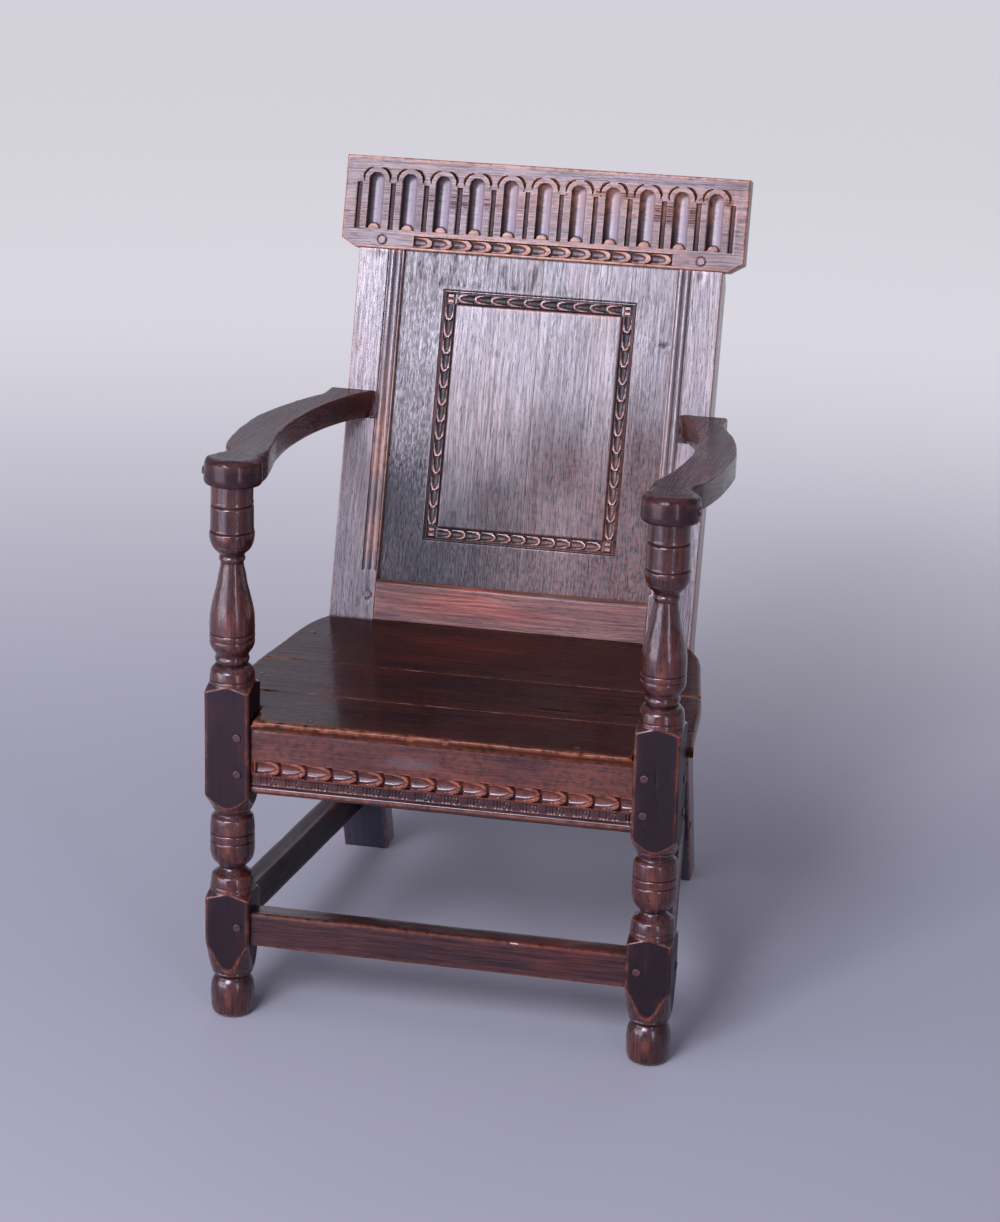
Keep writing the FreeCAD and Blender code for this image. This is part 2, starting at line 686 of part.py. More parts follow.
def frame_joints():
    """Posts, seat rails and stretchers."""
    pieces["front_post"] = turned_post()
    pieces["back_post"] = back_post()
    deep = tenon_thickness / 2 + front_setback - half_post + (front_rail_thickness - tenon_thickness) / 2
    seat_tenon = rail_top - rail_bottom - 2 * tenon_shoulder
    stretcher_tenon = stretcher_height - 2 * tenon_shoulder
    seat_mid, stretcher_mid = (rail_bottom + rail_top) / 2, (stretcher_bottom + stretcher_top) / 2
    join_across("front_seat_rail", front_seat_rail(), Vector(block_inner, deep, seat_mid), seat_tenon,
                front_tenon, "front_post")
    front_bar = rounded_rail(block_inner, rail_face, rail_face + front_rail_thickness, stretcher_bottom,
                             stretcher_top)
    join_across("front_stretcher", front_bar, Vector(block_inner, deep, stretcher_mid), stretcher_tenon,
                front_tenon, "front_post")
    rear_face = seat_depth + rear_rail_setback
    rear_rail = box(-stile_inner, stile_inner, rear_face, rear_face + rear_rail_thickness, rail_bottom,
                    rail_top)
    join_across("rear_seat_rail", rear_rail,
                Vector(stile_inner, rear_face + rear_rail_thickness / 2, seat_mid), seat_tenon,
                front_tenon, "back_post")
    leg_mid = face_place(stretcher_mid) + back_post_depth / math.cos(math.radians(leg_kick)) / 2
    rear_bar = rounded_rail(stile_inner, leg_mid - rear_stretcher_thickness / 2,
                            leg_mid + rear_stretcher_thickness / 2, stretcher_bottom, stretcher_top)
    join_across("rear_stretcher", rear_bar, Vector(stile_inner, leg_mid, stretcher_mid),
                stretcher_tenon, front_tenon, "back_post")
    outer_rear = stile_outer - side_setback
    seat_side = side_member(rail_bottom, rail_top, outer_rear)
    low_side = side_member(stretcher_bottom, stretcher_top, outer_rear)
    pieces["side_seat_rail"], pieces["side_stretcher"] = seat_side[0], low_side[0]
    cut_from(["front_post"], [seat_side[1], low_side[1]])
    cut_from(["back_post"], [seat_side[2], low_side[2]])
    peg_x = block_inner + front_peg_inset
    front = -half_post
    for level in (rail_peg_low, rail_peg_high):
        add_peg("front_seat_rail_pegs", Vector(peg_x, front, level), BACK, front_peg_length,
                ["front_post", "front_seat_rail"])
    add_peg("front_stretcher_pegs", Vector(peg_x, front, stretcher_peg_level), BACK, front_peg_length,
            ["front_post", "front_stretcher"])
    side_y = half_post - side_tenon / 2
    rear_y = side_tenon / 2
    for level in (side_peg_low, side_peg_high):
        add_peg("side_seat_rail_pegs", Vector(block_outer, side_y, level), -RIGHT, side_peg_length,
                ["front_post", "side_seat_rail"])
        add_peg("side_seat_rail_pegs", Vector(stile_outer, face_place(level) + rear_y, level), -RIGHT,
                side_peg_length, ["back_post", "side_seat_rail"])
        rear_edge = Vector(stile_inner + front_peg_inset, seat_depth + back_post_depth, level)
        add_peg("rear_seat_rail_pegs", rear_edge, -BACK, rear_peg_length, ["back_post", "rear_seat_rail"])
    add_peg("side_stretcher_pegs", Vector(block_outer, side_y, stretcher_mid), -RIGHT, side_peg_length,
            ["front_post", "side_stretcher"])
    add_peg("side_stretcher_pegs", Vector(stile_outer, face_place(stretcher_mid) + rear_y, stretcher_mid),
            -RIGHT, side_peg_length, ["back_post", "side_stretcher"])
    kick = math.radians(leg_kick)
    leg_back = Vector(stile_inner + front_peg_inset,
                      face_place(stretcher_mid) + back_post_depth / math.cos(kick), stretcher_mid)
    inward = Vector(0, -math.cos(kick), -math.sin(kick))
    add_peg("rear_stretcher_pegs", leg_back, inward, rear_peg_length, ["back_post", "rear_stretcher"])


def back_joints():
    """Crest rail, bottom rail and panel in the raked frame."""
    crest = placed(crest_rail(), back_frame)
    pieces["crest_rail"] = crest.cut(both_sides([stile_tenon()[1]]))
    shoulder = Vector(stile_inner, back_rail_tenon_setback + back_rail_tenon_thickness / 2,
                      back_rail_tenon_level)
    join_across("back_bottom_rail", back_bottom_rail(), shoulder, back_rail_tenon_height, front_tenon,
                "back_post", back_frame, back_rail_tenon_thickness)
    pieces["back_panel_left"], pieces["back_panel_right"] = panel_boards()
    inward = back_frame.Rotation.multVec(BACK)
    add_peg("crest_pegs", back_frame.multVec(Vector(crest_peg_place, 0, crest_peg_level)), inward,
            crest_peg_length, ["crest_rail", "back_post"])
    add_peg("back_rail_pegs",
            back_frame.multVec(Vector(stile_inner + back_peg_inset, 0, back_rail_peg_level)), inward,
            front_peg_length, ["back_post", "back_bottom_rail"])


def arm_joints():
    """Arms on the front posts and into the face of the back posts."""
    tenon, mortise = arm_rear_tenon_pair()
    socket = Part.makeCylinder(arm_tenon_radius + fit, arm_tenon_length + tenon_root + fit,
                               Vector(post_axis, 0, arm_underside - tenon_root), UP)
    pieces["arm"] = bowed_arm().fuse(tenon).removeSplitter().cut(socket)
    cut_from(["back_post"], [mortise])
    spot = arm_frame.multVec(Vector((arm_rear_outer + arm_rear_inner) / 2,
                                    arm_shoulder + arm_rear_peg_place, arm_thickness / 2))
    add_peg("arm_pegs", Vector(stile_outer, spot.y, spot.z), -RIGHT, arm_peg_length, ["back_post", "arm"])
    side = arm_frame.multVec(Vector(arm_head_radius, 0, arm_head_peg_level))
    add_peg("arm_pegs", side, -RIGHT, arm_head_peg_length, ["front_post", "arm"])


def seat_joints():
    """Seat boards pegged down to the rails."""
    boards = seat_boards()
    names = ("seat_board_front", "seat_board_middle", "seat_board_rear")
    pieces.update(zip(names, boards))
    size = {"radius": seat_peg_radius, "proud": 0.0}
    middle = rail_face + front_rail_thickness / 2
    add_peg("seat_pegs", Vector(front_seat_peg_place, middle, seat_height), -UP, seat_peg_length,
            ["seat_board_front", "front_seat_rail"], **size)
    outer_front, outer_rear = block_outer - side_setback, stile_outer - side_setback
    for row, board in ((side_seat_peg_near, names[1]), (side_seat_peg_far, names[2])):
        share = (row - half_post) / (seat_depth - half_post)
        x = outer_front + (outer_rear - outer_front) * share - side_rail_thickness / 2
        add_peg("seat_pegs", Vector(x, row, seat_height), -UP, seat_peg_length, [board, "side_seat_rail"],
                **size)


sided = ("front_post", "back_post", "side_seat_rail", "side_stretcher", "arm")


def finished_pieces():
    """All nodes of the chair: mortises and peg holes cut, left pieces mirrored from the right."""
    frame_joints()
    back_joints()
    arm_joints()
    seat_joints()
    done = {}
    for name, shape in pieces.items():
        holes = cuts.get(name, [])
        if name in sided:
            shape = shape.cut(holes) if holes else shape
            done[name + "_right"], done[name + "_left"] = shape, mirrored(shape)
        else:
            done[name] = shape.cut(both_sides(holes)) if holes else shape
    for name, group in pegs.items():
        done[name] = Part.makeCompound(both_sides(group))
    return done


def stand_on_floor(done):
    """Lean the chair back about its front feet, cut its feet to the floor and centre it."""
    heel = Vector(0, -foot_radius, 0)
    below = box(-post_spacing, post_spacing, -post_spacing, 2 * post_spacing, -2 * overrun, 0)
    for name, shape in done.items():
        shape.rotate(heel, RIGHT, -chair_lean)
        done[name] = shape.cut(below) if "_post_" in name else shape
    extent = Part.makeCompound(list(done.values())).optimalBoundingBox(False, False)
    for shape in done.values():
        shape.translate(Vector(0, -(extent.YMin + extent.YMax) / 2, 0))
    return done


chair = stand_on_floor(finished_pieces())
for name, shape in chair.items():
    assert shape.isValid(), name
    shape.exportStep(os.path.join("parts", name + ".step"))
extent = Part.makeCompound(list(chair.values())).optimalBoundingBox(False, False)
print("pieces", len(chair), "solids", sum(len(shape.Solids) for shape in chair.values()))
print("width %.1f depth %.1f height %.1f" % (extent.XLength, extent.YLength, extent.ZLength))
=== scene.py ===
import math
import bmesh
import bpy
import numpy as np
from mathutils import Matrix, Vector
from mathutils.kdtree import KDTree


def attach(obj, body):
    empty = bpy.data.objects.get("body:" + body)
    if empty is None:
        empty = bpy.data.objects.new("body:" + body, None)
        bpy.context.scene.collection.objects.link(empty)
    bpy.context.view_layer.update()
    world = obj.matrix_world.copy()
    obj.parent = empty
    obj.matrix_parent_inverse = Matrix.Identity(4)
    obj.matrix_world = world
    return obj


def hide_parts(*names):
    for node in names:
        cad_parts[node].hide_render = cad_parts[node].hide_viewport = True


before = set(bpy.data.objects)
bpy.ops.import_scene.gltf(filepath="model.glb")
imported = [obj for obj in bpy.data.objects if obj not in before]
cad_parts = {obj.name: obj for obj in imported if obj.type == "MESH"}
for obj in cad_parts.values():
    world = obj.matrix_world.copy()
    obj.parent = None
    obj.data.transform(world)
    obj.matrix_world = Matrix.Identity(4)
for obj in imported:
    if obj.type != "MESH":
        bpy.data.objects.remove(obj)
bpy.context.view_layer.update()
print("frame loaded")

# A joined oak armchair. Lengths are millimetres and become metres when a mesh is written.
# Joinery frame: front posts upright, x = 0 midway, y = 0 on their axes, z = 0 at their feet.
chair = {
    "lean": 3.6,  # degrees that the whole chair leans back
    "heel": -19.72,  # front line of the front feet, joinery frame
    "heelPlace": -344.83,  # the same line in the row frame
    "rake": 17.7,  # degrees, back above the seat
    "kick": 20.0,  # degrees, rear legs below the seat rails
    "seatHeight": 414.0,
    "seatDepth": 394.0,  # front post axes to the face of the back posts
    "postAxis": 273.0,
    "halfPost": 29.0,
    "armUnderside": 714.0,
    "armSlope": 4.74,
    "stileInner": 187.0,
    "stileOuter": 249.0,
    "railTop": 401.0,
    "railBottom": 314.0,
    "crestBottom": 503.5,
}
seatHeight, seatDepth = chair["seatHeight"], chair["seatDepth"]
postAxis, halfPost = chair["postAxis"], chair["halfPost"]
blockInner, blockOuter = postAxis - halfPost, postAxis + halfPost
stileInner, stileOuter = chair["stileInner"], chair["stileOuter"]


# Places
def tangent(name):  # of one of the chair's angles
    return math.tan(math.radians(chair[name]))


def leaned(points, degrees):  # turned about X, top to the rear
    a = math.radians(degrees)
    x, y, z = np.moveaxis(np.asarray(points, float), -1, 0)
    return np.stack([x, y * math.cos(a) + z * math.sin(a), z * math.cos(a) - y * math.sin(a)], -1)


def toFloor(points):  # joinery frame to row frame
    moved = np.asarray(points, float) - [0, chair["heel"], 0]
    return leaned(moved, chair["lean"]) + [0, chair["heelPlace"], 0]


def cutAtFloor(points):  # feet sawn level with the floor
    lowest = (points[..., 1] - chair["heel"]) * tangent("lean")
    points[..., 2] = np.maximum(points[..., 2], lowest)
    return points


def onBack(points):  # x, depth into the wood, height along the raked face
    return leaned(points, chair["rake"]) + [0, seatDepth, seatHeight]


def onArm(points):  # x outward and y back from the post, z above the underside
    return leaned(points, chair["armSlope"]) + [postAxis, 0, chair["armUnderside"]]


def flipped(points):
    return points * [-1, 1, 1]


# Shapes in numbers
def ruled(places, steps):
    runs = [np.linspace(a, b, max(1, math.ceil((b - a) / step - 1e-6)), endpoint=False)
            for a, b, step in zip(places, places[1:], steps)]
    return np.concatenate(runs + [[places[-1]]])


def edged(places, steps, arris=2.4):  # the same, with close lines for a rounded arris at both ends
    first, last = places[0], places[-1]
    near = [0, 0.12, 0.35, 0.65]
    inner = ruled([first + arris] + list(places[1:-1]) + [last - arris], steps)
    return np.concatenate([[first + arris * s for s in near], inner, [last - arris * s for s in near[::-1]]])


def smooth(low, high, value):
    t = np.clip((value - low) / (high - low), 0, 1)
    return t * t * (3 - 2 * t)


def dent(distance, width, depth):  # a soft-sided groove
    return depth * np.exp(-((distance / width) ** 2))


def lumps(points, size, seed):  # smooth noise from -1 to 1
    p = np.asarray(points, float) / size + seed * 17.31
    cell = np.floor(p).astype(np.int64)
    part = p - cell
    part = part * part * (3 - 2 * part)
    total = 0.0
    for corner in range(8):
        step = np.array([(corner >> k) & 1 for k in range(3)])
        weight = np.prod(np.where(step, part, 1 - part), axis=-1)
        c = cell + step
        mixed = (c[..., 0] * 73856093 ^ c[..., 1] * 19349663 ^ c[..., 2] * 83492791) & 0xFFFFFFFF
        mixed = (mixed ^ (mixed >> 15)) * 2246822519 & 0xFFFFFFFF
        mixed = (mixed ^ (mixed >> 13)) * 3266489917 & 0xFFFFFFFF
        total = total + weight * ((mixed ^ (mixed >> 16)) / 2147483648.0 - 1)
    return total


def onFace(x, y):  # points of a flat face, for lumps
    return np.stack([x, np.zeros_like(x), y], -1)


def onLine(level):  # points along one line, for lumps
    return np.stack([np.zeros_like(level), level, np.zeros_like(level)], -1)


def pegRing(across, up, deep=0.8):  # the gap round a peg, at distances from its middle
    return dent(np.hypot(across, up) - 5.9, 0.7, deep)


def through(levels, stops):  # a smooth run through (place, value) stops, with no overshoot
    places, values = (np.array(column, float) for column in zip(*stops))
    gap = np.diff(places)
    slope = np.diff(values) / gap
    lean = np.zeros(len(places))
    turning = slope[:-1] * slope[1:] > 0
    safe = np.where(turning, slope[:-1], 1), np.where(turning, slope[1:], 1)
    first, second = 2 * gap[1:] + gap[:-1], gap[1:] + 2 * gap[:-1]
    lean[1:-1] = np.where(turning, (first + second) / (first / safe[0] + second / safe[1]), 0)
    lean[0], lean[-1] = slope[0], slope[-1]
    k = np.clip(np.searchsorted(places, levels) - 1, 0, len(gap) - 1)
    t = np.clip((levels - places[k]) / gap[k], 0, 1)
    return (values[k] * (1 + 2 * t) * (1 - t) ** 2 + values[k + 1] * t * t * (3 - 2 * t)
            + gap[k] * (lean[k] * t * (1 - t) ** 2 - lean[k + 1] * t * t * (1 - t)))


def softened(grid, times):
    for _ in range(times):
        wide = np.pad(grid, 1, mode="edge")
        middle = wide[1:-1, 1:-1] * 2 + wide[:-2, 1:-1] + wide[2:, 1:-1]
        grid = (middle + wide[1:-1, :-2] + wide[1:-1, 2:]) / 6
    return grid


def rolled(distance, radius):  # depth of a rounded arris at a distance from the edge
    inside = np.clip(radius - distance, 0, radius)
    return radius - np.sqrt(np.maximum(radius ** 2 - inside ** 2, 0))


def outlineLoop(kept):  # grid corners round the kept cells, in order
    around = np.pad(kept, 1)
    follows = {}
    sides = ((1, 0, (0, 0), (1, 0)), (2, 1, (1, 0), (1, 1)), (1, 2, (1, 1), (0, 1)),
             (0, 1, (0, 1), (0, 0)))
    nu, nv = kept.shape
    for di, dj, a, b in sides:
        for i, j in np.argwhere(kept & ~around[di:di + nu, dj:dj + nv]):
            follows[(i + a[0], j + a[1])] = (i + b[0], j + b[1])
    start = next(iter(follows))
    loop = [start]
    while follows[loop[-1]] != start:
        loop.append(follows[loop[-1]])
    return loop


def distanceTo(edge, x, y, spacing=1.0):
    after = np.roll(edge, -1, axis=0)
    nearPoints = []
    for a, b in zip(edge, after):
        steps = max(1, int(np.hypot(*(b - a)) / spacing))
        nearPoints += [a + (b - a) * k / steps for k in range(steps)]
    tree = KDTree(len(nearPoints))
    for k, p in enumerate(nearPoints):
        tree.insert((p[0], p[1], 0), k)
    tree.balance()
    far = np.array([tree.find((a, b, 0))[2] for a, b in zip(x.ravel(), y.ravel())])
    return far.reshape(x.shape)


def inward(edge):  # at each corner of a loop, the way in, long enough to move both its sides by 1
    ahead = np.roll(edge, -1, axis=0) - edge
    area = np.sum(edge[:, 0] * np.roll(edge[:, 1], -1) - np.roll(edge[:, 0], -1) * edge[:, 1])
    length = np.maximum(np.hypot(ahead[:, 0], ahead[:, 1]), 1e-9)
    square = np.stack([-ahead[:, 1], ahead[:, 0]], -1) / length[:, None] * math.copysign(1, area)
    both = square + np.roll(square, 1, axis=0)
    both /= np.maximum(np.hypot(both[:, 0], both[:, 1]), 1e-9)[:, None]
    return both / np.maximum((both * square).sum(1), 0.5)[:, None]


# Shader and geometry trees
class Socket:  # a socket that takes part in sums
    def __init__(self, recipe, socket):
        self.recipe, self.socket = recipe, socket

    def __add__(self, other):
        return self.recipe.sum("ADD", self, other)

    def __sub__(self, other):
        return self.recipe.sum("SUBTRACT", self, other)

    def __rsub__(self, other):
        return self.recipe.sum("SUBTRACT", other, self)

    def __mul__(self, other):
        return self.recipe.sum("MULTIPLY", self, other)

    __radd__, __rmul__ = __add__, __mul__


class Recipe:
    def __init__(self, tree):
        self.tree = tree

    def node(self, kind, settings=None, sockets=None, out=0):
        made = self.tree.nodes.new(kind)
        for name, value in (settings or {}).items():
            if name == "stops":
                while len(made.color_ramp.elements) < len(value):
                    made.color_ramp.elements.new(0.5)
                for element, (place, colour) in zip(made.color_ramp.elements, value):
                    element.position = place
                    element.color = (*colour, 1)
            else:
                setattr(made, name, value)
        for name, value in (sockets or {}).items():
            if isinstance(value, Socket):
                self.tree.links.new(value.socket, made.inputs[name])
            else:
                made.inputs[name].default_value = value
        return Socket(self, made.outputs[out]) if made.outputs else made

    def sum(self, operation, a, b, clamp=False):
        return self.node("ShaderNodeMath", {"operation": operation, "use_clamp": clamp}, {0: a, 1: b})

    def held(self, value):
        return self.sum("ADD", value, 0.0, clamp=True)

    def vector(self, operation, a, b):
        return self.node("ShaderNodeVectorMath", {"operation": operation}, {0: a, 1: b})

    def noise(self, place, scale, detail=2.0, rough=0.5, seed=0.0):
        moved = self.vector("ADD", place, (seed, seed * 0.7, seed * 1.3))
        return self.node("ShaderNodeTexNoise", None,
                         {"Vector": moved, "Scale": scale, "Detail": detail, "Roughness": rough}, "Fac")

    def ramp(self, value, stops):
        return self.node("ShaderNodeValToRGB", {"stops": stops}, {"Fac": value}, "Color")

    def band(self, value, low, high):
        return self.node("ShaderNodeMapRange", {"interpolation_type": "SMOOTHSTEP"},
                         {"Value": value, "From Min": low, "From Max": high}, "Result")

    def mix(self, factor, a, b, blend="MIX"):
        colours = [(*c, 1) if isinstance(c, tuple) else c for c in (a, b)]
        return self.node("ShaderNodeMix", {"data_type": "RGBA", "blend_type": blend},
                         {0: factor, 6: colours[0], 7: colours[1]}, 2)


def oak(name, look):  # old waxed oak; the grain attribute runs along its first axis, in millimetres
    material = bpy.data.materials.new(name)
    material.use_nodes = True
    material.node_tree.nodes.clear()
    r = Recipe(material.node_tree)
    grain, hollow, wear, knot = (
        r.node("ShaderNodeAttribute", {"attribute_name": label}, None, output)
        for label, output in (("grain", "Vector"), ("hollow", "Fac"), ("wear", "Fac"), ("knot", "Fac")))
    bend = r.noise(grain, 0.008, 1.0, 0.5, 3.0) - 0.5
    swayed = r.vector("ADD", grain, r.node("ShaderNodeCombineXYZ", None, {"Y": bend * look["sway"]}))
    along = r.vector("MULTIPLY", swayed, (0.03, 1.0, 1.0))
    streak = r.noise(along, look["streak"], 3.0, 0.6, 11.0)
    pores = r.noise(r.vector("MULTIPLY", swayed, (0.07, 1.0, 1.0)), look["pores"], 2.0, 0.55, 29.0)
    pore = r.band(pores, 0.56, 0.70)
    broad = r.noise(r.vector("MULTIPLY", grain, (0.25, 1.0, 1.0)), look["broad"], 2.0, 0.5, 41.0)
    fleck = r.noise(r.vector("MULTIPLY", grain, (0.3, 1.0, 1.0)), 0.35, 2.0, 0.6, 57.0)
    speck = r.noise(grain, 0.9, 2.0, 0.6, 71.0)
    base = r.ramp(streak, [(0.32, look["dark"]), (0.5, look["mid"]), (0.68, look["light"])])
    patch = r.ramp(broad, [(0.3, look["shade"]), (0.52, (1.0, 1.0, 1.0)), (0.75, look["glow"])])
    colour = r.mix(1.0, base, patch, "MULTIPLY")
    colour = r.mix(r.band(fleck, 0.60, 0.72) * 0.25, colour, look["light"])
    colour = r.mix(pore * look["porous"], colour, look["recess"])
    # knot mixes in a colour of its own: real knots and figure, the darker arm heads, and on the crest a painted
    # sheen on the flutes' right sides and in the row's hollows
    colour = r.mix(knot, colour, look["knot"])
    pounced = r.band(fleck, 0.44, 0.60) * knot * look["pounced"]
    # deep darkens towards the recess colour and dulls the wax: specks, pounced ground, and the hollow attribute,
    # which darkens recesses and on several pieces carries painted shade
    deep = r.held(r.band(hollow, 0.05, 1.1) * look["dirtAndShade"] + r.band(speck, 0.66, 0.78) * 0.5 + pounced)
    colour = r.mix(deep, colour, look["recess"])
    raised = r.band(hollow * -1.0, 0.12, 1.0)
    rub = r.held((wear + raised * look["ridge"]) * r.band(r.noise(grain, 0.12, 3.0, 0.6, 83.0), 0.28, 0.62))
    colour = r.mix(rub * look["rub"], colour, look["worn"])
    rough = look["rough"] + (broad - 0.5) * 0.3 + (0.5 - streak) * look["streaky"] + pore * 0.16 + deep * 0.2
    wax = r.held((1.0 - deep) * (0.6 + r.band(streak, 0.36, 0.58) * 0.4) * look["wax"])
    height = streak * 0.35 - pore * 0.55 + speck * 0.2 - pounced * 0.6 + broad * 0.5
    bump = r.node("ShaderNodeBump", None, {"Height": height, "Strength": look["relief"], "Distance": 0.0007},
                  "Normal")
    shader = r.node("ShaderNodeBsdfPrincipled", None,
                    {"Base Color": colour, "Roughness": r.held(rough), "Normal": bump, "IOR": 1.5,
                     "Specular IOR Level": look["gloss"], "Specular Tint": (*look["sheen"], 1.0),
                     "Coat Weight": wax, "Coat Roughness": look["coatRough"]}, "BSDF")
    r.node("ShaderNodeOutputMaterial", None, {"Surface": shader})
    return material


plainOak = {
    "dark": (0.013, 0.004, 0.004), "mid": (0.036, 0.010, 0.008), "light": (0.072, 0.021, 0.013),
    "shade": (0.60, 0.58, 0.68), "glow": (1.85, 1.10, 0.95), "recess": (0.004, 0.002, 0.003),
    "worn": (0.30, 0.085, 0.042), "knot": (0.07, 0.055, 0.065), "sheen": (0.94, 0.78, 1.0),
    "streak": 0.42, "pores": 1.1, "broad": 0.022, "sway": 9.0, "porous": 0.45, "dirtAndShade": 0.9, "ridge": 0.5,
    "rub": 0.7, "rough": 0.28, "streaky": 0.25, "gloss": 0.34, "wax": 0.85, "coatRough": 0.17, "relief": 0.4,
    "pounced": 0.0,
}
looks = {
    "oak_frame": {},
    "oak_seat": {"dark": (0.013, 0.003, 0.002), "mid": (0.029, 0.0065, 0.0045), "light": (0.054, 0.013, 0.008),
                 "rough": 0.20, "wax": 0.14, "gloss": 0.12, "coatRough": 0.08, "relief": 0.2,
                 "glow": (1.5, 1.25, 1.0), "worn": (0.25, 0.080, 0.036), "sheen": (1.0, 0.84, 0.94)},
    # the back posts' bluish recess colour is a painted reflection in their darkened parts
    "oak_back_frame": {"dark": (0.045, 0.024, 0.025), "mid": (0.098, 0.055, 0.052), "light": (0.18, 0.110, 0.100),
                       "rough": 0.33, "coatRough": 0.27, "gloss": 0.78, "glow": (1.3, 1.15, 1.1),
                       "relief": 0.9, "streaky": 0.5, "porous": 0.7, "worn": (0.42, 0.165, 0.080),
                       "sheen": (0.90, 0.87, 1.0), "recess": (0.010, 0.011, 0.026)},
    "oak_panel": {"dark": (0.040, 0.019, 0.020), "mid": (0.095, 0.051, 0.050), "light": (0.20, 0.125, 0.115),
                  "pores": 0.9, "porous": 0.8, "rough": 0.34, "wax": 0.82, "coatRough": 0.28, "gloss": 0.72,
                  "relief": 1.0, "pounced": 1.0, "streaky": 0.4, "worn": (0.44, 0.165, 0.105),
                  "sheen": (0.90, 0.88, 1.0), "glow": (1.3, 1.15, 1.1)},
    # the crest's knot colour is the grey-lilac of a painted sheen
    "oak_crest": {"dark": (0.048, 0.020, 0.018), "mid": (0.106, 0.049, 0.042), "light": (0.180, 0.096, 0.084),
                  "pores": 0.8, "porous": 0.8, "ridge": 0.9, "rub": 0.85, "rough": 0.40, "wax": 0.56,
                  "gloss": 0.42, "coatRough": 0.32, "worn": (0.42, 0.165, 0.080), "knot": (0.25, 0.215, 0.26),
                  "sheen": (0.92, 0.84, 1.0), "glow": (1.3, 1.15, 1.1)},
    "oak_back_rail": {"dark": (0.055, 0.019, 0.013), "mid": (0.130, 0.045, 0.028), "light": (0.22, 0.086, 0.052),
                      "rough": 0.42, "wax": 0.35, "gloss": 0.35, "coatRough": 0.25, "worn": (0.38, 0.14, 0.065)},
    "oak_arms": {"dark": (0.017, 0.0050, 0.0055), "mid": (0.042, 0.0115, 0.011), "light": (0.076, 0.022, 0.019),
                 "rough": 0.27, "wax": 0.24, "gloss": 0.2, "coatRough": 0.14, "knot": (0.017, 0.008, 0.012),
                 "sheen": (1.0, 0.86, 0.98)},
    "oak_pegs": {"dark": (0.012, 0.005, 0.005), "mid": (0.028, 0.010, 0.009), "light": (0.050, 0.019, 0.016),
                 "rough": 0.4, "wax": 0.6, "coatRough": 0.25, "gloss": 0.5, "knot": (0.125, 0.068, 0.064)},
}
finishes = {slot: oak(slot, {**plainOak, **change}) for slot, change in looks.items()}
print("finishes mixed")


# Meshes
def marked(mesh, label, values):  # one number or one vector for each point
    values = np.asarray(values, np.float32)
    kind, field = ("FLOAT_VECTOR", "vector") if values.ndim > 1 else ("FLOAT", "value")
    mesh.attributes.new(label, kind, "POINT").data.foreach_set(field, values.ravel())


def written(name, points, faces, marks):
    mesh = bpy.data.meshes.new(name)
    mesh.from_pydata((toFloor(points) / 1000).tolist(), [], faces)
    for label, values in marks.items():
        marked(mesh, label, values)
    solid = bmesh.new()
    solid.from_mesh(mesh)
    bmesh.ops.recalc_face_normals(solid, faces=solid.faces)
    solid.to_mesh(mesh)
    solid.free()
    mesh.shade_smooth()
    mesh.set_sharp_from_angle(angle=math.radians(42))
    return mesh


def settled(name, mesh, slot, *nodes):
    piece = bpy.data.objects.new(name, mesh)
    bpy.context.scene.collection.objects.link(piece)
    mesh.materials.clear()
    mesh.materials.append(finishes[slot])
    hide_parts(*nodes)
    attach(piece, "root")
    print(name, len(mesh.polygons), "faces")


def sided(place, mirror):  # the same place on the left
    return (lambda points: flipped(place(points))) if mirror else place


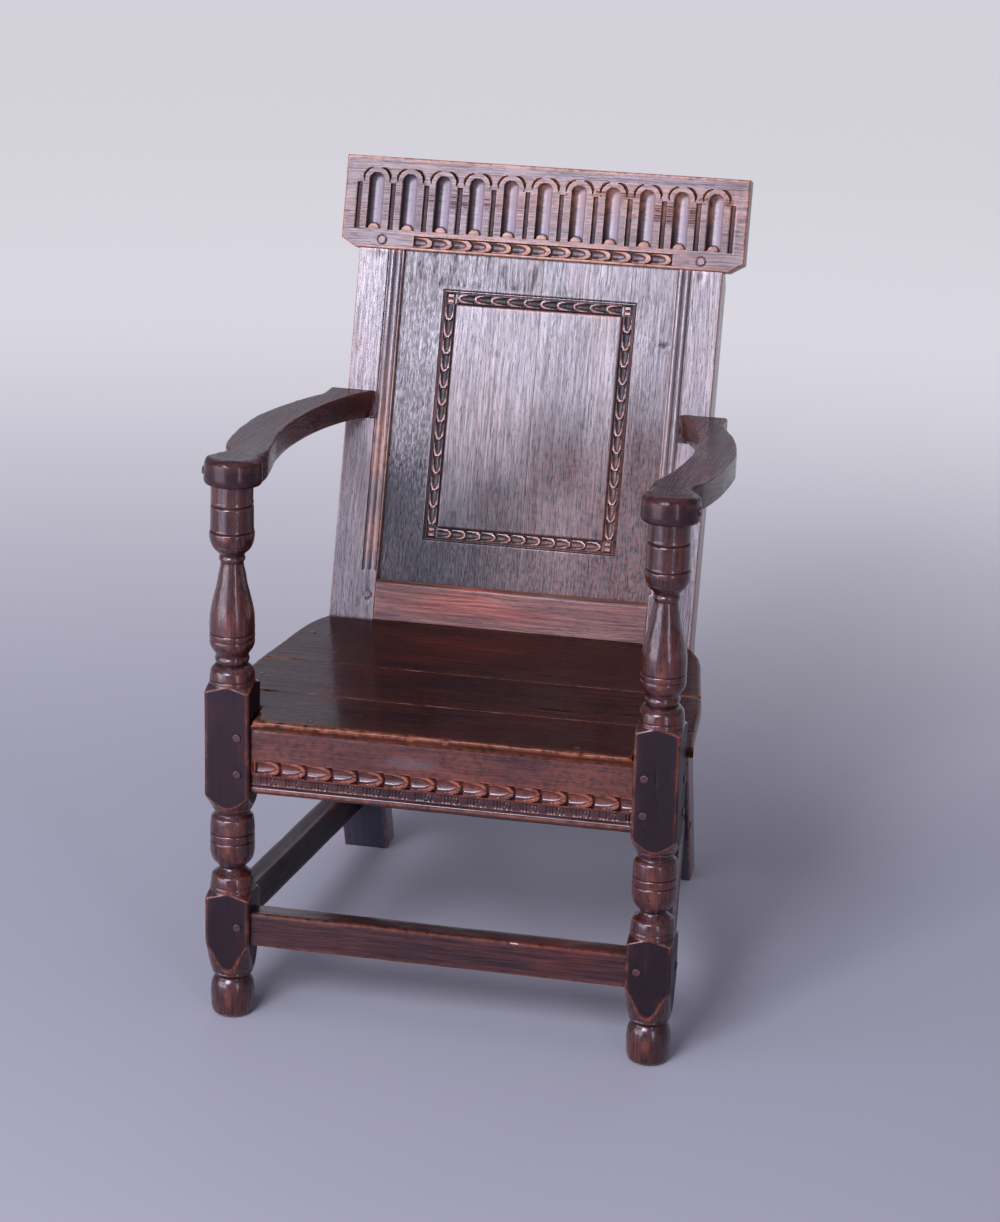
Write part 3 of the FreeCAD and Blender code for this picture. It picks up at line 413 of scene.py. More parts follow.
def board(name, across, along, face, thick, place, keep=None, bend=None, arris=1.6, behind=1.5, rear=(),
          lengthwise=True, waves=0.35, seed=1, swell=None, knot=None, worn=None, soilAndShade=None, rubbed=1.0,
          bent=False):
    u, v = np.meshgrid(across, along, indexing="ij")
    mids = np.meshgrid((across[1:] + across[:-1]) / 2, (along[1:] + along[:-1]) / 2, indexing="ij")
    kept = keep(*mids) if keep else np.ones(mids[0].shape, bool)
    x, y = bend(u, v) if bend else (u, v)
    loop = outlineLoop(kept)
    edge = np.array([(x[k], y[k]) for k in loop])
    reach = distanceTo(edge, x, y)
    flat = onFace(x, y)
    ease = arris(x, y) if callable(arris) else arris
    chipped = ease * (1 + 0.35 * lumps(flat, 31, seed + 1) + 0.3 * lumps(flat, 8, seed + 2))
    relief = face(x, y)
    wave = waves * (0.5 + 0.5 * lumps(flat, 70, swell or seed)) * (1 if swell else smooth(0, 10, reach))
    depth = relief + wave
    hollow = relief - softened(relief, 6)
    # This darkens the piece further through hollow; on the crest, the panel and the back posts it is mostly
    # painted shade
    if soilAndShade:
        hollow = hollow + soilAndShade(x, y)
    depth = depth + rolled(reach, chipped)
    wear = np.exp(-((reach / (1.3 * ease)) ** 2)) * rubbed
    if worn:
        wear = np.clip(wear + worn(x, y), 0, 1)
    numbers = -np.ones(x.shape, int)
    cells = np.argwhere(kept)
    used = np.zeros(x.shape, bool)
    for a, b in ((0, 0), (1, 0), (0, 1), (1, 1)):
        used[cells[:, 0] + a, cells[:, 1] + b] = True
    numbers[used] = np.arange(used.sum())
    local = [np.stack([x[used], depth[used], y[used]], -1)]
    marks = {"hollow": [hollow[used]], "wear": [wear[used]],
             "knot": [(knot(x, y) if knot else np.zeros_like(x))[used]]}
    i, j = cells[:, 0], cells[:, 1]
    faces = np.stack([numbers[i, j], numbers[i + 1, j], numbers[i + 1, j + 1], numbers[i, j + 1]], -1).tolist()
    ring = [int(numbers[k]) for k in loop]
    way = inward(edge)
    top = np.array([depth[k] for k in loop])
    full = thick(edge[:, 0], edge[:, 1]) if callable(thick) else np.full(len(edge), float(thick))
    steps = [(0, None, 0.34, 0.1), (0, None, 0.68, 0.1), (0, behind, 1, 0.5),
             (0.35 * behind, 0.35 * behind, 1, 0.7), (behind, 0, 1, 0.3)]
    for inset, short, share, bare in steps + [(inset, level, 0, 0) for inset, level in rear]:
        spot = edge + way * inset
        if share == 0:
            level = np.full(len(edge), float(short))
        elif short is None:
            level = top + (full - behind - top) * share
        else:
            level = full - short
        first = sum(len(part) for part in local)
        local.append(np.stack([spot[:, 0], level, spot[:, 1]], -1))
        marks["hollow"].append(np.zeros(len(edge)))
        marks["wear"].append(np.full(len(edge), bare * rubbed))
        marks["knot"].append(knot(*spot.T) if knot else np.zeros(len(edge)))
        fresh = list(range(first, first + len(edge)))
        faces += [[ring[k], ring[(k + 1) % len(ring)], fresh[(k + 1) % len(ring)], fresh[k]]
                  for k in range(len(ring))]
        ring = fresh
    if bent:  # rungs across the back, so that it follows the bends
        at = dict(zip(loop, ring))
        far, last = x.shape[0] - 1, x.shape[1] - 1
        faces += [[at[0, k], at[0, k + 1], at[far, k + 1], at[far, k]] for k in range(1, last - 1)]
        faces += [[at[0, side]] + [at[k, end] for k in range(far + 1)] + [at[far, side]]
                  for side, end in ((1, 0), (last - 1, last))]
    else:
        faces.append(ring)
    local = np.concatenate(local)
    order = [0, 2, 1] if lengthwise else [2, 0, 1]
    marks = {label: np.concatenate(values) for label, values in marks.items()}
    marks["grain"] = local[:, order] + seed * 137.0
    return written(name, place(local), faces, marks)


# Carving
# shade, the third result, is painted shade: darkest at each cut's deep start and full round the outside of each
# cut
def scooped(run, pitch, offset, half, depth, opening=0.80):  # gouge cuts in a row, each deep at its start
    a = np.mod(run, pitch) / pitch
    b = np.abs(offset) / half
    nose = np.sqrt(np.clip(1 - np.clip((a - 0.62) / 0.33, 0, 1) ** 2, 0, 1))
    bodied = smooth(-0.08, 0.08, nose - b) * (a < 0.96)
    bowl = np.maximum(0.86 * np.sqrt(np.clip(1 - np.clip(a / opening, 0, 1) ** 2.4, 0, 1)), 1e-3)
    hollowed = np.sqrt(np.clip(1 - np.clip(b / bowl, 0, 1) ** 2.2, 0, 1)) * (1.0 - 0.45 * a)
    lip = bodied * (b > bowl - 0.04) * (0.35 + 0.65 * smooth(0.25, 0.62, a))
    shade = np.where(bodied > 0.5, smooth(0.02, -0.1, b - bowl) * smooth(0.75, 0.2, a), 1.0)
    return depth * np.where(bodied > 0.5, np.maximum(hollowed, 0.05 + 0.12 * b ** 2), 1.0), lip, shade


crest = {
    "half": 276.0, "top": 628.0, "thick": 32.0, "clip": (20.0, 12.0),
    "bays": 11, "pitch": 46.6, "flute": 20.6, "fluteDepth": 5.6, "foot": 530.0, "spring": 596.0,
    "headRise": 5.0,
    "barWidth": 6.6, "barDepth": 4.2, "barGap": 4.0, "arch": 17.4, "crescent": 3.6, "crescentDepth": 4.6,
    "cushion": (7.6, 7.2), "tick": 3.3, "rowStart": -175.0, "rowCount": 13, "rowPitch": 27.3, "rowLevel": 514.6,
    "rowHalf": 6.9, "rowDepth": 5.0, "rowOpening": 0.69, "pegs": (219.0, 515.5),
}


def crestRow(x, t):
    c = crest
    run = x - c["rowStart"]
    inRow = (run > 0) & (run < c["rowCount"] * c["rowPitch"]) & (np.abs(t - c["rowLevel"]) < c["rowHalf"] + 0.6)
    return inRow, scooped(run, c["rowPitch"], t - c["rowLevel"], c["rowHalf"], c["rowDepth"], c["rowOpening"])


def crestBay(x, t):  # across and up from the nearest arch's springing, its foot cushion, and what is flute
    c = crest
    bay = np.clip(np.round(x / c["pitch"]), -(c["bays"] // 2), c["bays"] // 2)
    dx, up = x - bay * c["pitch"], t - c["spring"]
    wide, tall = c["cushion"]
    inFlute = (t > c["foot"]) & (np.where(up > 0, np.hypot(dx, up), np.abs(dx)) < c["flute"] / 2)
    return dx, up, np.hypot(dx / wide, (t - c["foot"]) / tall), inFlute


def crestTicks(x, t):  # light strokes across the pillars
    c = crest
    flat = onFace(np.floor(x / c["pitch"] * 2) * 9.0, t)
    stroke = dent(np.mod(t + 0.9 * lumps(flat, 9, 5), c["tick"]) - c["tick"] / 2, 0.6, 1.0)
    return stroke * smooth(-0.2, 0.4, lumps(flat, 30, 6) + 0.2) * (0.4 + 0.6 * smooth(-210, -90, x))


def crestFace(x, t):
    c = crest
    dx, up, pad, inFlute = crestBay(x, t)
    half = c["flute"] / 2
    s = dx / half
    steep = 1 - np.clip(-(s + 0.25) / 0.75, 0, 1) ** 4
    easy = np.sqrt(np.clip(1 - (np.clip(s + 0.25, 0, None) / 1.27) ** 2, 0, 1))
    rise = np.sqrt(np.clip(half ** 2 - dx ** 2, 0.01, None)) + c["headRise"]
    head = np.clip((up + c["headRise"]) / rise, 0, 1)
    depth = np.where(inFlute, c["fluteDepth"] * steep * easy * np.sqrt(np.clip(1 - head ** 2.4, 0, 1)), 0)
    depth = np.where(inFlute & (pad < 1), 0.35 + 0.5 * pad ** 4, depth)
    radius = np.hypot(dx, up)
    turn = np.degrees(np.arctan2(dx, np.maximum(up, -2)))  # from the crown, to the right
    aside = np.abs(turn)
    width = c["crescent"] * np.where(turn > 0, 1.0, 0.72) * smooth(8, 50, aside) * smooth(98, 70, aside)
    q = (radius - c["arch"]) / np.maximum(width, 0.01)
    cut = np.where((q > 0) & (q < 1) & (up > -3), (1 - np.clip(q, 0, 1) ** 2) * smooth(0, 0.15, q), 0)
    depth = np.maximum(depth, c["crescentDepth"] * cut * smooth(8, 26, aside))
    bar = np.clip(np.round(x / c["pitch"] - 0.5) + 0.5, -c["bays"] / 2, c["bays"] / 2)
    away = np.abs(x - bar * c["pitch"]) / (c["barWidth"] / 2)
    inBar = (t > c["foot"] - 1) & (t < c["spring"] - c["barGap"]) & (away < 1)
    depth = np.maximum(depth, np.where(inBar, c["barDepth"] * smooth(1, 0.7, away), 0))
    pillar = (depth < 0.1) & (t > c["foot"]) & (up < 4) & (np.abs(x) < c["bays"] / 2 * c["pitch"])
    depth = depth + pillar * 0.7 * crestTicks(x, t)
    inRow, (row, _, _) = crestRow(x, t)
    depth = np.where(inRow, row, depth)
    depth = depth + pegRing(np.abs(x) - c["pegs"][0], t - c["pegs"][1], 0.9)
    return depth + dent(t - 506.3, 0.5, 0.5)


def crestWorn(x, t):  # bare orange wood: top arris, cushions, the gouge row's lips and strips
    c = crest
    inRow, (_, lip, _) = crestRow(x, t)
    _, up, pad, _ = crestBay(x, t)
    inside = smooth(-225, -165, x) * smooth(215, 180, x)
    strip = inside * (0.5 * smooth(8.5, 2.0, np.abs(t - c["foot"] + 6)) + 0.6 * smooth(509, 505, t))
    top = smooth(6.0, 1.0, c["top"] - t)
    arch = 0.42 * smooth(-150, 60, x) * smooth(-60, 0, up) * (up < 17)
    return top + np.where(inRow, 1.2 * lip, strip) + 0.7 * ((pad < 1) & (t > c["foot"] - 1)) + arch


def crestSoilAndShade(x, t):  # painted shade on the flutes' left walls and heads, on the crescents' right halves and in the gouge row; the slots and the pillar strokes darker
    c = crest
    dx, up, pad, inFlute = crestBay(x, t)
    inFlute = inFlute & (pad > 1)
    s, radius = dx / (c["flute"] / 2), np.hypot(dx, up)
    flute = 1.5 * smooth(-0.02, -0.5, s) + 1.1 * smooth(-4, 8, up - 6 * s)
    bar = np.abs(np.abs(dx) - c["pitch"] / 2) < c["barWidth"] / 2
    slot = bar & (t > c["foot"]) & (t < c["spring"] - c["barGap"])
    slot = slot & (np.abs(x) < c["pitch"] * (c["bays"] + 0.3) / 2)
    pillar = ~inFlute & ~slot & (t > c["foot"]) & (up < 4) & (pad > 1)
    pillar = pillar & (np.abs(x) < c["bays"] / 2 * c["pitch"])
    inRow, (_, _, shade) = crestRow(x, t)
    moon = (up > -3) & (radius > c["arch"]) & (radius < c["arch"] + c["crescent"]) & (np.abs(dx) > 4)
    carved = np.where(inFlute, flute, 0) + 0.8 * slot + 0.4 * inRow * shade
    return carved + 0.6 * moon * (up < 17) * (dx > 0) + 0.6 * pillar * crestTicks(x, t)


def crestPaintedSheen(x, t):  # painted sheen: the flutes' right sides and the lower parts of the row's hollows, smooth and grey
    dx, _, pad, inFlute = crestBay(x, t)
    inFlute = inFlute & (pad > 1)
    inRow, (_, lip, shade) = crestRow(x, t)
    below = smooth(2.0, -1.0, t - crest["rowLevel"])
    grey = 0.8 * inFlute * smooth(-0.4, 0.1, dx / (crest["flute"] / 2))
    return grey + 0.75 * inRow * (lip < 0.1) * (shade < 0.85) * below


def crestBend(u, v):  # lower corners sawn off
    run, rise = crest["clip"]
    cut = np.clip((np.abs(u) - (crest["half"] - run)) / run, 0, 1) * rise
    low, high = chair["crestBottom"], crest["top"]
    share = (v - low) / (high - low)
    return u, v + cut * (1 - share) ** 2.2


half = crest["half"]
mesh = board("crestRail", edged([-half, 18 - half, half - 18, half], [1.5, 0.95, 1.5]),
             edged([chair["crestBottom"], crest["top"]], [0.95]), crestFace, crest["thick"], onBack,
             bend=crestBend, worn=crestWorn, soilAndShade=crestSoilAndShade, knot=crestPaintedSheen, arris=1.8, seed=2)
settled("crestRail", mesh, "oak_crest", "crest_rail")
print("crest carved")

border = {
    "left": -130.0, "right": 136.0, "bottom": 113.5, "top": 454.5, "band": 19.5, "middle": 10.6, "half": 5.6,
    "topCount": 10, "bottomCount": 11, "sideCount": 13, "depth": 4.6, "joint": 6.0, "gap": 0.2,
    "recess": 9.0, "thick": 8.0, "knot": (178.0, 400.0),
}


def panelSides(x, t):  # how far inside each outer edge of the border, and the least of the four
    b = border
    left, right, low, high = x - b["left"], b["right"] - x, t - b["bottom"], b["top"] - t
    return left, right, low, high, np.minimum(np.minimum(left, right), np.minimum(low, high))


def panelCuts(x, t):  # the gouged rows of the border, their raised lips, and painted shade in their hollows
    b = border
    left, right, low, high, ring = panelSides(x, t)
    across = b["right"] - b["left"] - 2 * b["band"]
    tall = b["top"] - b["bottom"] - 2 * b["band"]
    inside = (ring > b["middle"] - b["half"]) & (ring < b["middle"] + b["half"])
    level = (left > b["band"]) & (right > b["band"])
    side = (np.minimum(left, right) < b["band"]) & (high > b["band"]) & (low > b["band"])
    rows = ((level & (high < b["band"]), right - b["band"], across / b["topCount"]),
            (level & (low < b["band"]), left - b["band"], across / b["bottomCount"]),
            (side, high - b["band"], tall / b["sideCount"]))
    depth, lips, dark = np.zeros_like(x), np.zeros_like(x), np.zeros_like(x)
    for where, run, pitch in rows:
        parts = scooped(run, pitch, ring - b["middle"], b["half"], b["depth"])
        depth, lips, dark = (np.where(where & inside, a, b) for a, b in zip(parts, (depth, lips, dark)))
    corner = (np.minimum(left, right) < b["band"]) & (np.minimum(low, high) < b["band"]) & (ring > 4.6)
    dx, dz = np.minimum(left, right) - 11.5, np.minimum(low, high) - 11.5
    boss = np.maximum(np.abs(dx) / 5.4, np.abs(np.abs(dz) - 3.6) / 2.9)
    return ring, np.where(corner, 3.4 * smooth(0.6, 1.0, boss), depth), np.where(corner, boss < 0.8, lips), dark


def panelFace(x, t):
    ring, cuts, _, _ = panelCuts(x, t)
    spot = np.hypot(x - border["knot"][0], t - border["knot"][1])
    lines = dent(ring - 0.7, 0.6, 1.8) + dent(ring - 3.0, 0.6, 1.4) + dent(ring - 18.0, 1.2, 3.6)
    return np.maximum(lines, cuts) + dent(spot, 3.0, 1.6)


def panelWorn(x, t):
    ring, _, lips, _ = panelCuts(x, t)
    edge = smooth(26, 20, ring) * (ring > 19.6) * smooth(420, 434, t) * smooth(-125, -60, x)
    low = 0.32 * smooth(360, 190, t) * smooth(-120, 90, x)
    return 1.1 * lips + 0.8 * edge + low


# painted shade in the border's hollows and down the lower field, reaching higher on the right; dark streaks in
# the ground above the border on the left; the panel slightly darker all over, more above the border
def panelSoilAndShade(x, t):
    _, _, _, dark = panelCuts(x, t)
    cloud = lumps(onFace(x, t / 1.6), 45, 12)
    low = smooth(385, 200, t + 60 * smooth(90, -110, x)) * (0.85 + 0.4 * cloud)
    bands = smooth(0.0, 0.6, lumps(onFace(x, t / 9), 2.6, 14)) * smooth(455, 462, t) * smooth(60, 0, x)
    return 1.3 * dark + 0.95 * low + 0.55 * bands + 0.14 + 0.12 * smooth(455, 460, t)


def panelKnot(x, t):
    ring = panelSides(x, t)[-1]
    flame = np.abs(np.hypot((x - 42) / 1.0, (t - 395) / 3.2) - 17) / 5
    eye = np.hypot(x - 20, (t - 330) / 1.6) / 13
    ground = smooth(0, -3, ring) * (0.5 - 0.3 * smooth(-150, 60, x) - 0.1 * smooth(455, 475, t))
    return ground + 0.4 * np.exp(-flame ** 2) * smooth(300, 420, t) + 0.35 * np.exp(-eye ** 2)


def onPanel(points):
    return onBack(points + [0, border["recess"], 0])


def panelBoard(name, start, end, seed):
    lines = ruled([-187.0, -132, -109, 115, 138, 187.0], [4.0, 0.8, 1.5, 0.8, 4.0])
    lines = lines[(lines > start + 0.4) & (lines < end - 0.4)]
    lines = np.concatenate([[start], lines, [end]])
    levels = ruled([55.0, 111, 134, 434, 457, 503.5], [5.0, 0.8, 1.5, 0.8, 4.0])
    return board(name, lines, levels, panelFace, border["thick"], onPanel, arris=0.15, behind=0.6,
                 lengthwise=False, waves=0.8, seed=seed, swell=3, knot=panelKnot, worn=panelWorn,
                 soilAndShade=panelSoilAndShade, rubbed=0.0)


joint, gap = border["joint"], border["gap"] / 2
for name, node, start, end, seed in (("backPanelLeft", "back_panel_left", -stileInner, joint - gap, 3),
                                     ("backPanelRight", "back_panel_right", joint + gap, stileInner, 4)):
    settled(name, panelBoard(name, start, end, seed), "oak_panel", node)
print("panel carved")

apron = {
    "face": -19.0, "thick": 30.0, "start": -238.0, "pitch": 33.4, "level": 350.0, "half": 9.2, "depth": 5.6,
    "bead": 319.3, "beadHalf": 4.4, "quirks": (325.2, 314.6), "knot": (-37.0, 376.0), "punch": (328.0, 338.5),
}


def apronRow(x, z):
    a = apron
    run = x - a["start"]
    inRow = (np.abs(z - a["level"]) < a["half"]) & (run > 0)
    return inRow, scooped(run, a["pitch"], z - a["level"], a["half"], a["depth"])


def apronFace(x, z):
    a = apron
    run = x - a["start"]
    inRow, (row, _, _) = apronRow(x, z)
    depth = np.where(inRow, row, 0)
    depth = depth + np.where(run < -1, dent(np.hypot(run + 4, (z - a["level"]) / 2), 3.0, 2.0), 0)
    s = np.clip(np.abs(z - a["bead"]) / a["beadHalf"], 0, 1.2)
    bead = 2.4 * (1 - np.sqrt(np.clip(1 - s ** 2, 0, 1)))
    depth = np.where(z < 324.2, np.minimum(bead, 3.0), depth)
    depth = depth + dent(z - a["quirks"][0], 0.9, 2.2)
    low, high = a["punch"]
    inBand = smooth(low - 0.8, low + 0.4, z) * smooth(high + 0.8, high - 0.4, z)
    beat = np.mod(run, a["pitch"])
    strokes = sum(dent(beat - place, 0.9, 1.3) for place in (7.5, 11.5, 15.5, 28.0))
    slant = np.abs(z - (low + high) / 2)
    chevrons = sum(dent(beat - place - 0.55 * slant, 0.9, 1.2) for place in (20.0, 24.0))
    return depth + inBand * np.maximum(strokes, chevrons) + inBand * 0.5


def apronWorn(x, z):
    inRow, (_, lip, _) = apronRow(x, z)
    bead = smooth(2.6, 0.6, np.abs(z - apron["bead"]))
    flat = onFace(x / 2.2, z)
    warm = (0.3 + 0.22 * lumps(flat, 30, 8)) * smooth(340, 350, z) * smooth(400, 392, z)
    edges = 0.5 * (np.abs(z - 326.9) < 0.8) + 0.35 * (np.abs(z - 339.8) < 0.8)
    return 1.1 * inRow * lip + 0.8 * bead + edges + warm


def apronKnot(x, z):
    spot = np.hypot((x - apron["knot"][0]) / 34, (z - apron["knot"][1]) / 6.5)
    return 0.8 * np.exp(-spot ** 4)


def onApron(points):
    return points + [0, apron["face"], 0]


mesh = board("frontSeatRail", ruled([-244.0, -238, 238, 244.0], [1.0, 1.1, 1.0]),
             ruled([314.0, 326, 339, 362, 401.0], [0.8, 1.3, 1.0, 5.0]), apronFace, apron["thick"], onApron,
             arris=0.8, seed=5, knot=apronKnot, worn=apronWorn, rubbed=0.6)
settled("frontSeatRail", mesh, "oak_frame", "front_seat_rail")

lowRail = {"thick": 30.0, "height": 55.0, "bevel": 5.0}


def lowRailFace(x, t):
    return np.clip(t - (lowRail["height"] - lowRail["bevel"]), 0, None) + dent(t - 49.2, 0.7, 0.5)


def overSeat(points):
    placed = onBack(points)
    placed[..., 2] = np.maximum(placed[..., 2], seatHeight)
    return placed


mesh = board("backBottomRail", edged([-187.0, 187.0], [4.0]), edged([0.0, 46, 55.0], [3.0, 0.8]), lowRailFace,
             lowRail["thick"], overSeat, arris=0.7, seed=6, rubbed=0.6)
settled("backBottomRail", mesh, "oak_back_rail", "back_bottom_rail")
print("rails planed")

# Back posts: kicked leg, upright at the rails, raked above, with a double bead inside
stile = {"depth": 48.0, "footDepth": 42.0, "topDepth": 32.0, "below": -60.0, "beadStart": 66.0,
         "beadBand": 22.0, "beadDepth": 2.6, "beadHalf": 4.3, "beadMiddles": (6.4, 15.4), "peg": (198.0, 33.0)}


def stileLines():
    kick, rake = math.radians(chair["kick"]), math.radians(chair["rake"])
    low, high = chair["railBottom"], chair["crestBottom"]
    front = np.array([[seatDepth + (low - stile["below"]) * math.tan(kick), stile["below"]], [seatDepth, low],
                      [seatDepth, seatHeight],
                      [seatDepth + high * math.sin(rake), seatHeight + high * math.cos(rake)]])
    ways = np.diff(front, axis=0)
    ways /= np.hypot(ways[:, 0], ways[:, 1])[:, None]
    square = np.stack([ways[:, 1], -ways[:, 0]], -1)
    rear = []
    for k, point in enumerate(front):
        both = square[max(k - 1, 0)] + square[min(k, 2)]
        both /= 2
        reach = stile["depth"] if k else stile["footDepth"]
        rear.append(point + both * reach / (both @ both))
    return front, np.array(rear)


stileFront, stileRear = stileLines()
stileStops = np.array([stile["below"], chair["railBottom"], seatHeight, seatHeight + chair["crestBottom"]])


def onStile(points):
    x, depth, level = np.moveaxis(points, -1, 0)
    share = depth / stile["depth"]

    def run(at, axis):  # between the front line and the rear line
        front, rear = (np.interp(at, stileStops, line[:, axis]) for line in (stileFront, stileRear))
        return front * (1 - share) + rear * share

    def clear(at):  # height over the floor that the feet are cut to
        return run(at, 1) - (run(at, 0) - chair["heel"]) * tangent("lean")

    below, above = -40.0, 200.0  # two levels of the straight leg
    low, high = (clear(np.full_like(level, at)) for at in (below, above))
    level = np.maximum(level, below - low * (above - below) / (high - low))
    return np.stack([x, run(level, 0), run(level, 1)], -1)


def stileFace(x, level):
    t = level - seatHeight
    u = x - stileInner
    moulded = smooth(stile["beadStart"] - 1, stile["beadStart"] + 3, t) * (u < stile["beadBand"])
    rounds = 9.0
    for middle in stile["beadMiddles"]:
        arc = np.sqrt(np.clip(1 - ((u - middle) / stile["beadHalf"]) ** 2, 0, 1))
        rounds = np.minimum(rounds, stile["beadDepth"] - 2.5 * arc)
    depth = moulded * np.clip(rounds, 0, stile["beadDepth"])
    crack = dent(x - 222 - 4 * lumps(onLine(level), 40, 3), 0.5, 1.2) * smooth(430, 470, t)
    return depth + pegRing(x - stile["peg"][0], t - stile["peg"][1]) + crack


def stileWorn(x, level):
    t = level - seatHeight
    patch = smooth(0.5, -0.3, lumps(onLine(level), 60, 4)) * smooth(470, 330, t)
    return 0.75 * (x - stileInner < stile["beadBand"]) * smooth(60, 75, t) * patch


# painted shade: darker towards the seat, and darker still on the legs below the rails
def stileSoilAndShade(x, level):
    t = level - seatHeight
    return 0.55 * smooth(240, 60, t) + 0.7 * smooth(-60, -160, t)


def stileThick(x, level):  # thinned behind, up to the crest
    thinned = stile["depth"] - stile["topDepth"]
    over = level - seatHeight - (chair["crestBottom"] - thinned)
    return np.where(over > 0, stile["depth"] - over, stile["depth"])


for name, node, mirror, seed in (("backPostRight", "back_post_right", False, 7),
                                 ("backPostLeft", "back_post_left", True, 8)):
    across = ruled([stileInner, 188.2, 210, 246.6, stileOuter], [0.4, 0.8, 4.0, 0.5])
    along = ruled([20.0, 60, 310, 318, 410, 418, 476, 490, 916.0, 917.4], [3, 5, 2, 5, 2, 4, 1.5, 4, 0.7])
    mesh = board(name, across, along, stileFace, stileThick, sided(onStile, mirror), arris=1.3, behind=2.0,
                 lengthwise=False, waves=0.5, seed=seed, worn=stileWorn if mirror else None, soilAndShade=stileSoilAndShade,
                 rubbed=0.8, bent=True)
    settled(name, mesh, "oak_back_frame", node)
print("back posts shaped")

# Seat
seat = {"front": -22.0, "notch": 243.5, "behind": 29.5, "tongue": 186.5, "rear": 421.0, "thick": 13.0,
        "wide": 310.0,
        "joints": (90.0, 212.0), "gap": 0.5, "pegs": ((170.0, -4.0), (276.0, 150.0), (253.0, 322.0)),
        "edge": ((29.5, 310.0), (62, 306.0), (178, 297.0), (214, 291.5), (289, 279.5), (334, 272.5), (357, 266.5),
                 (377, 258.0), (394, 249.0))}


def seatBend(u, v):
    wide = through(np.clip(v, seat["behind"], seatDepth), seat["edge"])
    inner = np.where(v < seatDepth * 0.6, seat["notch"], seat["tongue"])
    beyond = np.abs(u) - inner
    reach = np.where(beyond > 0, inner + beyond * (wide - inner) / (seat["wide"] - inner), np.abs(u))
    return np.sign(u) * reach, v


def seatPlace(points):
    x, depth, y = np.moveaxis(points, -1, 0)
    return np.stack([x, y, seatHeight - depth], -1)


def seatFace(x, y):
    run = onFace(x, 0 * y)
    dip = 1.0 * np.exp(-((x / 170) ** 2 + ((y - 160) / 150) ** 2))
    split = dent(y - 118 - 7 * lumps(run, 90, 5) - 0.02 * x, 0.55, 1.4)
    split = split * smooth(-60, -20, x) * smooth(236, 200, x)
    far = dent(y - 258 - 5 * lumps(run, 70, 9), 0.45, 0.9) * smooth(60, 90, x) * smooth(250, 220, x)
    pegs = sum(dent(np.hypot(np.abs(x) - px, y - py) - 4.5, 0.6, 0.6) for px, py in seat["pegs"])
    return dip + split + far + pegs


def seatArris(x, y):  # the front edge is worn and chipped away most
    run = onFace(x, 0 * y)
    chips = smooth(0.1, 0.6, lumps(run, 14, 31)) * 3.2 + smooth(0.0, 0.8, lumps(run, 47, 33)) * 2.0
    return np.where(y < 12, 2.6 + chips * smooth(14, 0, y), np.where(np.abs(x) > 240, 2.6, 0.6))


def seatKeep(x, y):  # notched round the posts
    atFront = (np.abs(x) < seat["notch"]) | (y > seat["behind"])
    return atFront & ((np.abs(x) < seat["tongue"]) | (y < seatDepth))


def seatBoard(name, node, start, end, seed):
    half = ruled([0, seat["tongue"], seat["notch"], 300, seat["wide"]], [4.0, 3.0, 4.0, 0.8])
    near = max(start, seat["front"])
    lines = [m for m in (seat["behind"], seat["behind"] + 3.5, seatDepth) if near + 4 < m < end - 1]
    marks = [near, near + 3.5] + lines + [end - 1.2, end]
    along = ruled(marks, [0.6] + [3.5] * (len(marks) - 3) + [0.4])
    mesh = board(name, np.concatenate([-half[:0:-1], half]), along, seatFace, seat["thick"], seatPlace,
                 keep=seatKeep, bend=seatBend, arris=seatArris, behind=2.2, waves=0.5, seed=seed)
    settled(name, mesh, "oak_seat", node)


first, second = seat["joints"]
gap = seat["gap"] / 2
seatBoard("seatBoardFront", "seat_board_front", seat["front"], first - gap, 9)
seatBoard("seatBoardMiddle", "seat_board_middle", first + gap, second - gap, 10)
seatBoard("seatBoardRear", "seat_board_rear", second + gap, seat["rear"], 11)
print("seat laid")

# Arms
arm = {"thick": 36.0, "head": 36.5, "headPlace": 4.0, "end": 499.0,
       "outer": ((30, 26.0), (44, 20.5), (56, 24.0), (70, 29.0), (87, 32.5), (119.4, 37.2), (172.6, 42.0),
                 (243, 43.8), (304, 37.5), (369, 24.0), (430, 4.0), (498.6, -21.0), (560, -45.0)),
       "inner": ((20, -34.5), (37, -34.0), (60, -31.0), (87, -26.5), (151, -16.5), (234, -11.5), (300, -14.0),
                 (370, -22.5), (431, -37.5), (495, -65.5), (560, -98.0))}


def armSides(y):
    wide = np.sqrt(np.clip(arm["head"] ** 2 - (y - arm["headPlace"]) ** 2, 0, None))
    outer, inner = through(y, arm["outer"]), through(y, arm["inner"])
    outer = np.where(y < 30, wide, np.maximum(outer, wide))
    inner = np.where(y < 20, -wide, np.minimum(inner, -wide))
    return outer, inner


def armBend(u, v):
    outer, inner = armSides(v)
    return (outer + inner) / 2 + (outer - inner) / 2 * u, v


def armPlace(points):
    x, depth, y = np.moveaxis(points, -1, 0)
    placed = onArm(np.stack([x, y, arm["thick"] - depth], -1))
    back = seatDepth + (placed[..., 2] - seatHeight) * tangent("rake")
    placed[..., 1] = np.minimum(placed[..., 1], back)
    return placed


def armArris(x, y):
    return 3.6 + 7.5 * smooth(62, 26, y)


def armFace(x, y):
    head = np.hypot(x, y - arm["headPlace"])
    return 0.8 * smooth(90, 260, y) * smooth(500, 300, y) + dent(head - 22, 3.5, 0.35) * smooth(50, 20, y)


def armKnot(x, y):  # the heads are darkest
    return 0.85 * smooth(58, 34, y)


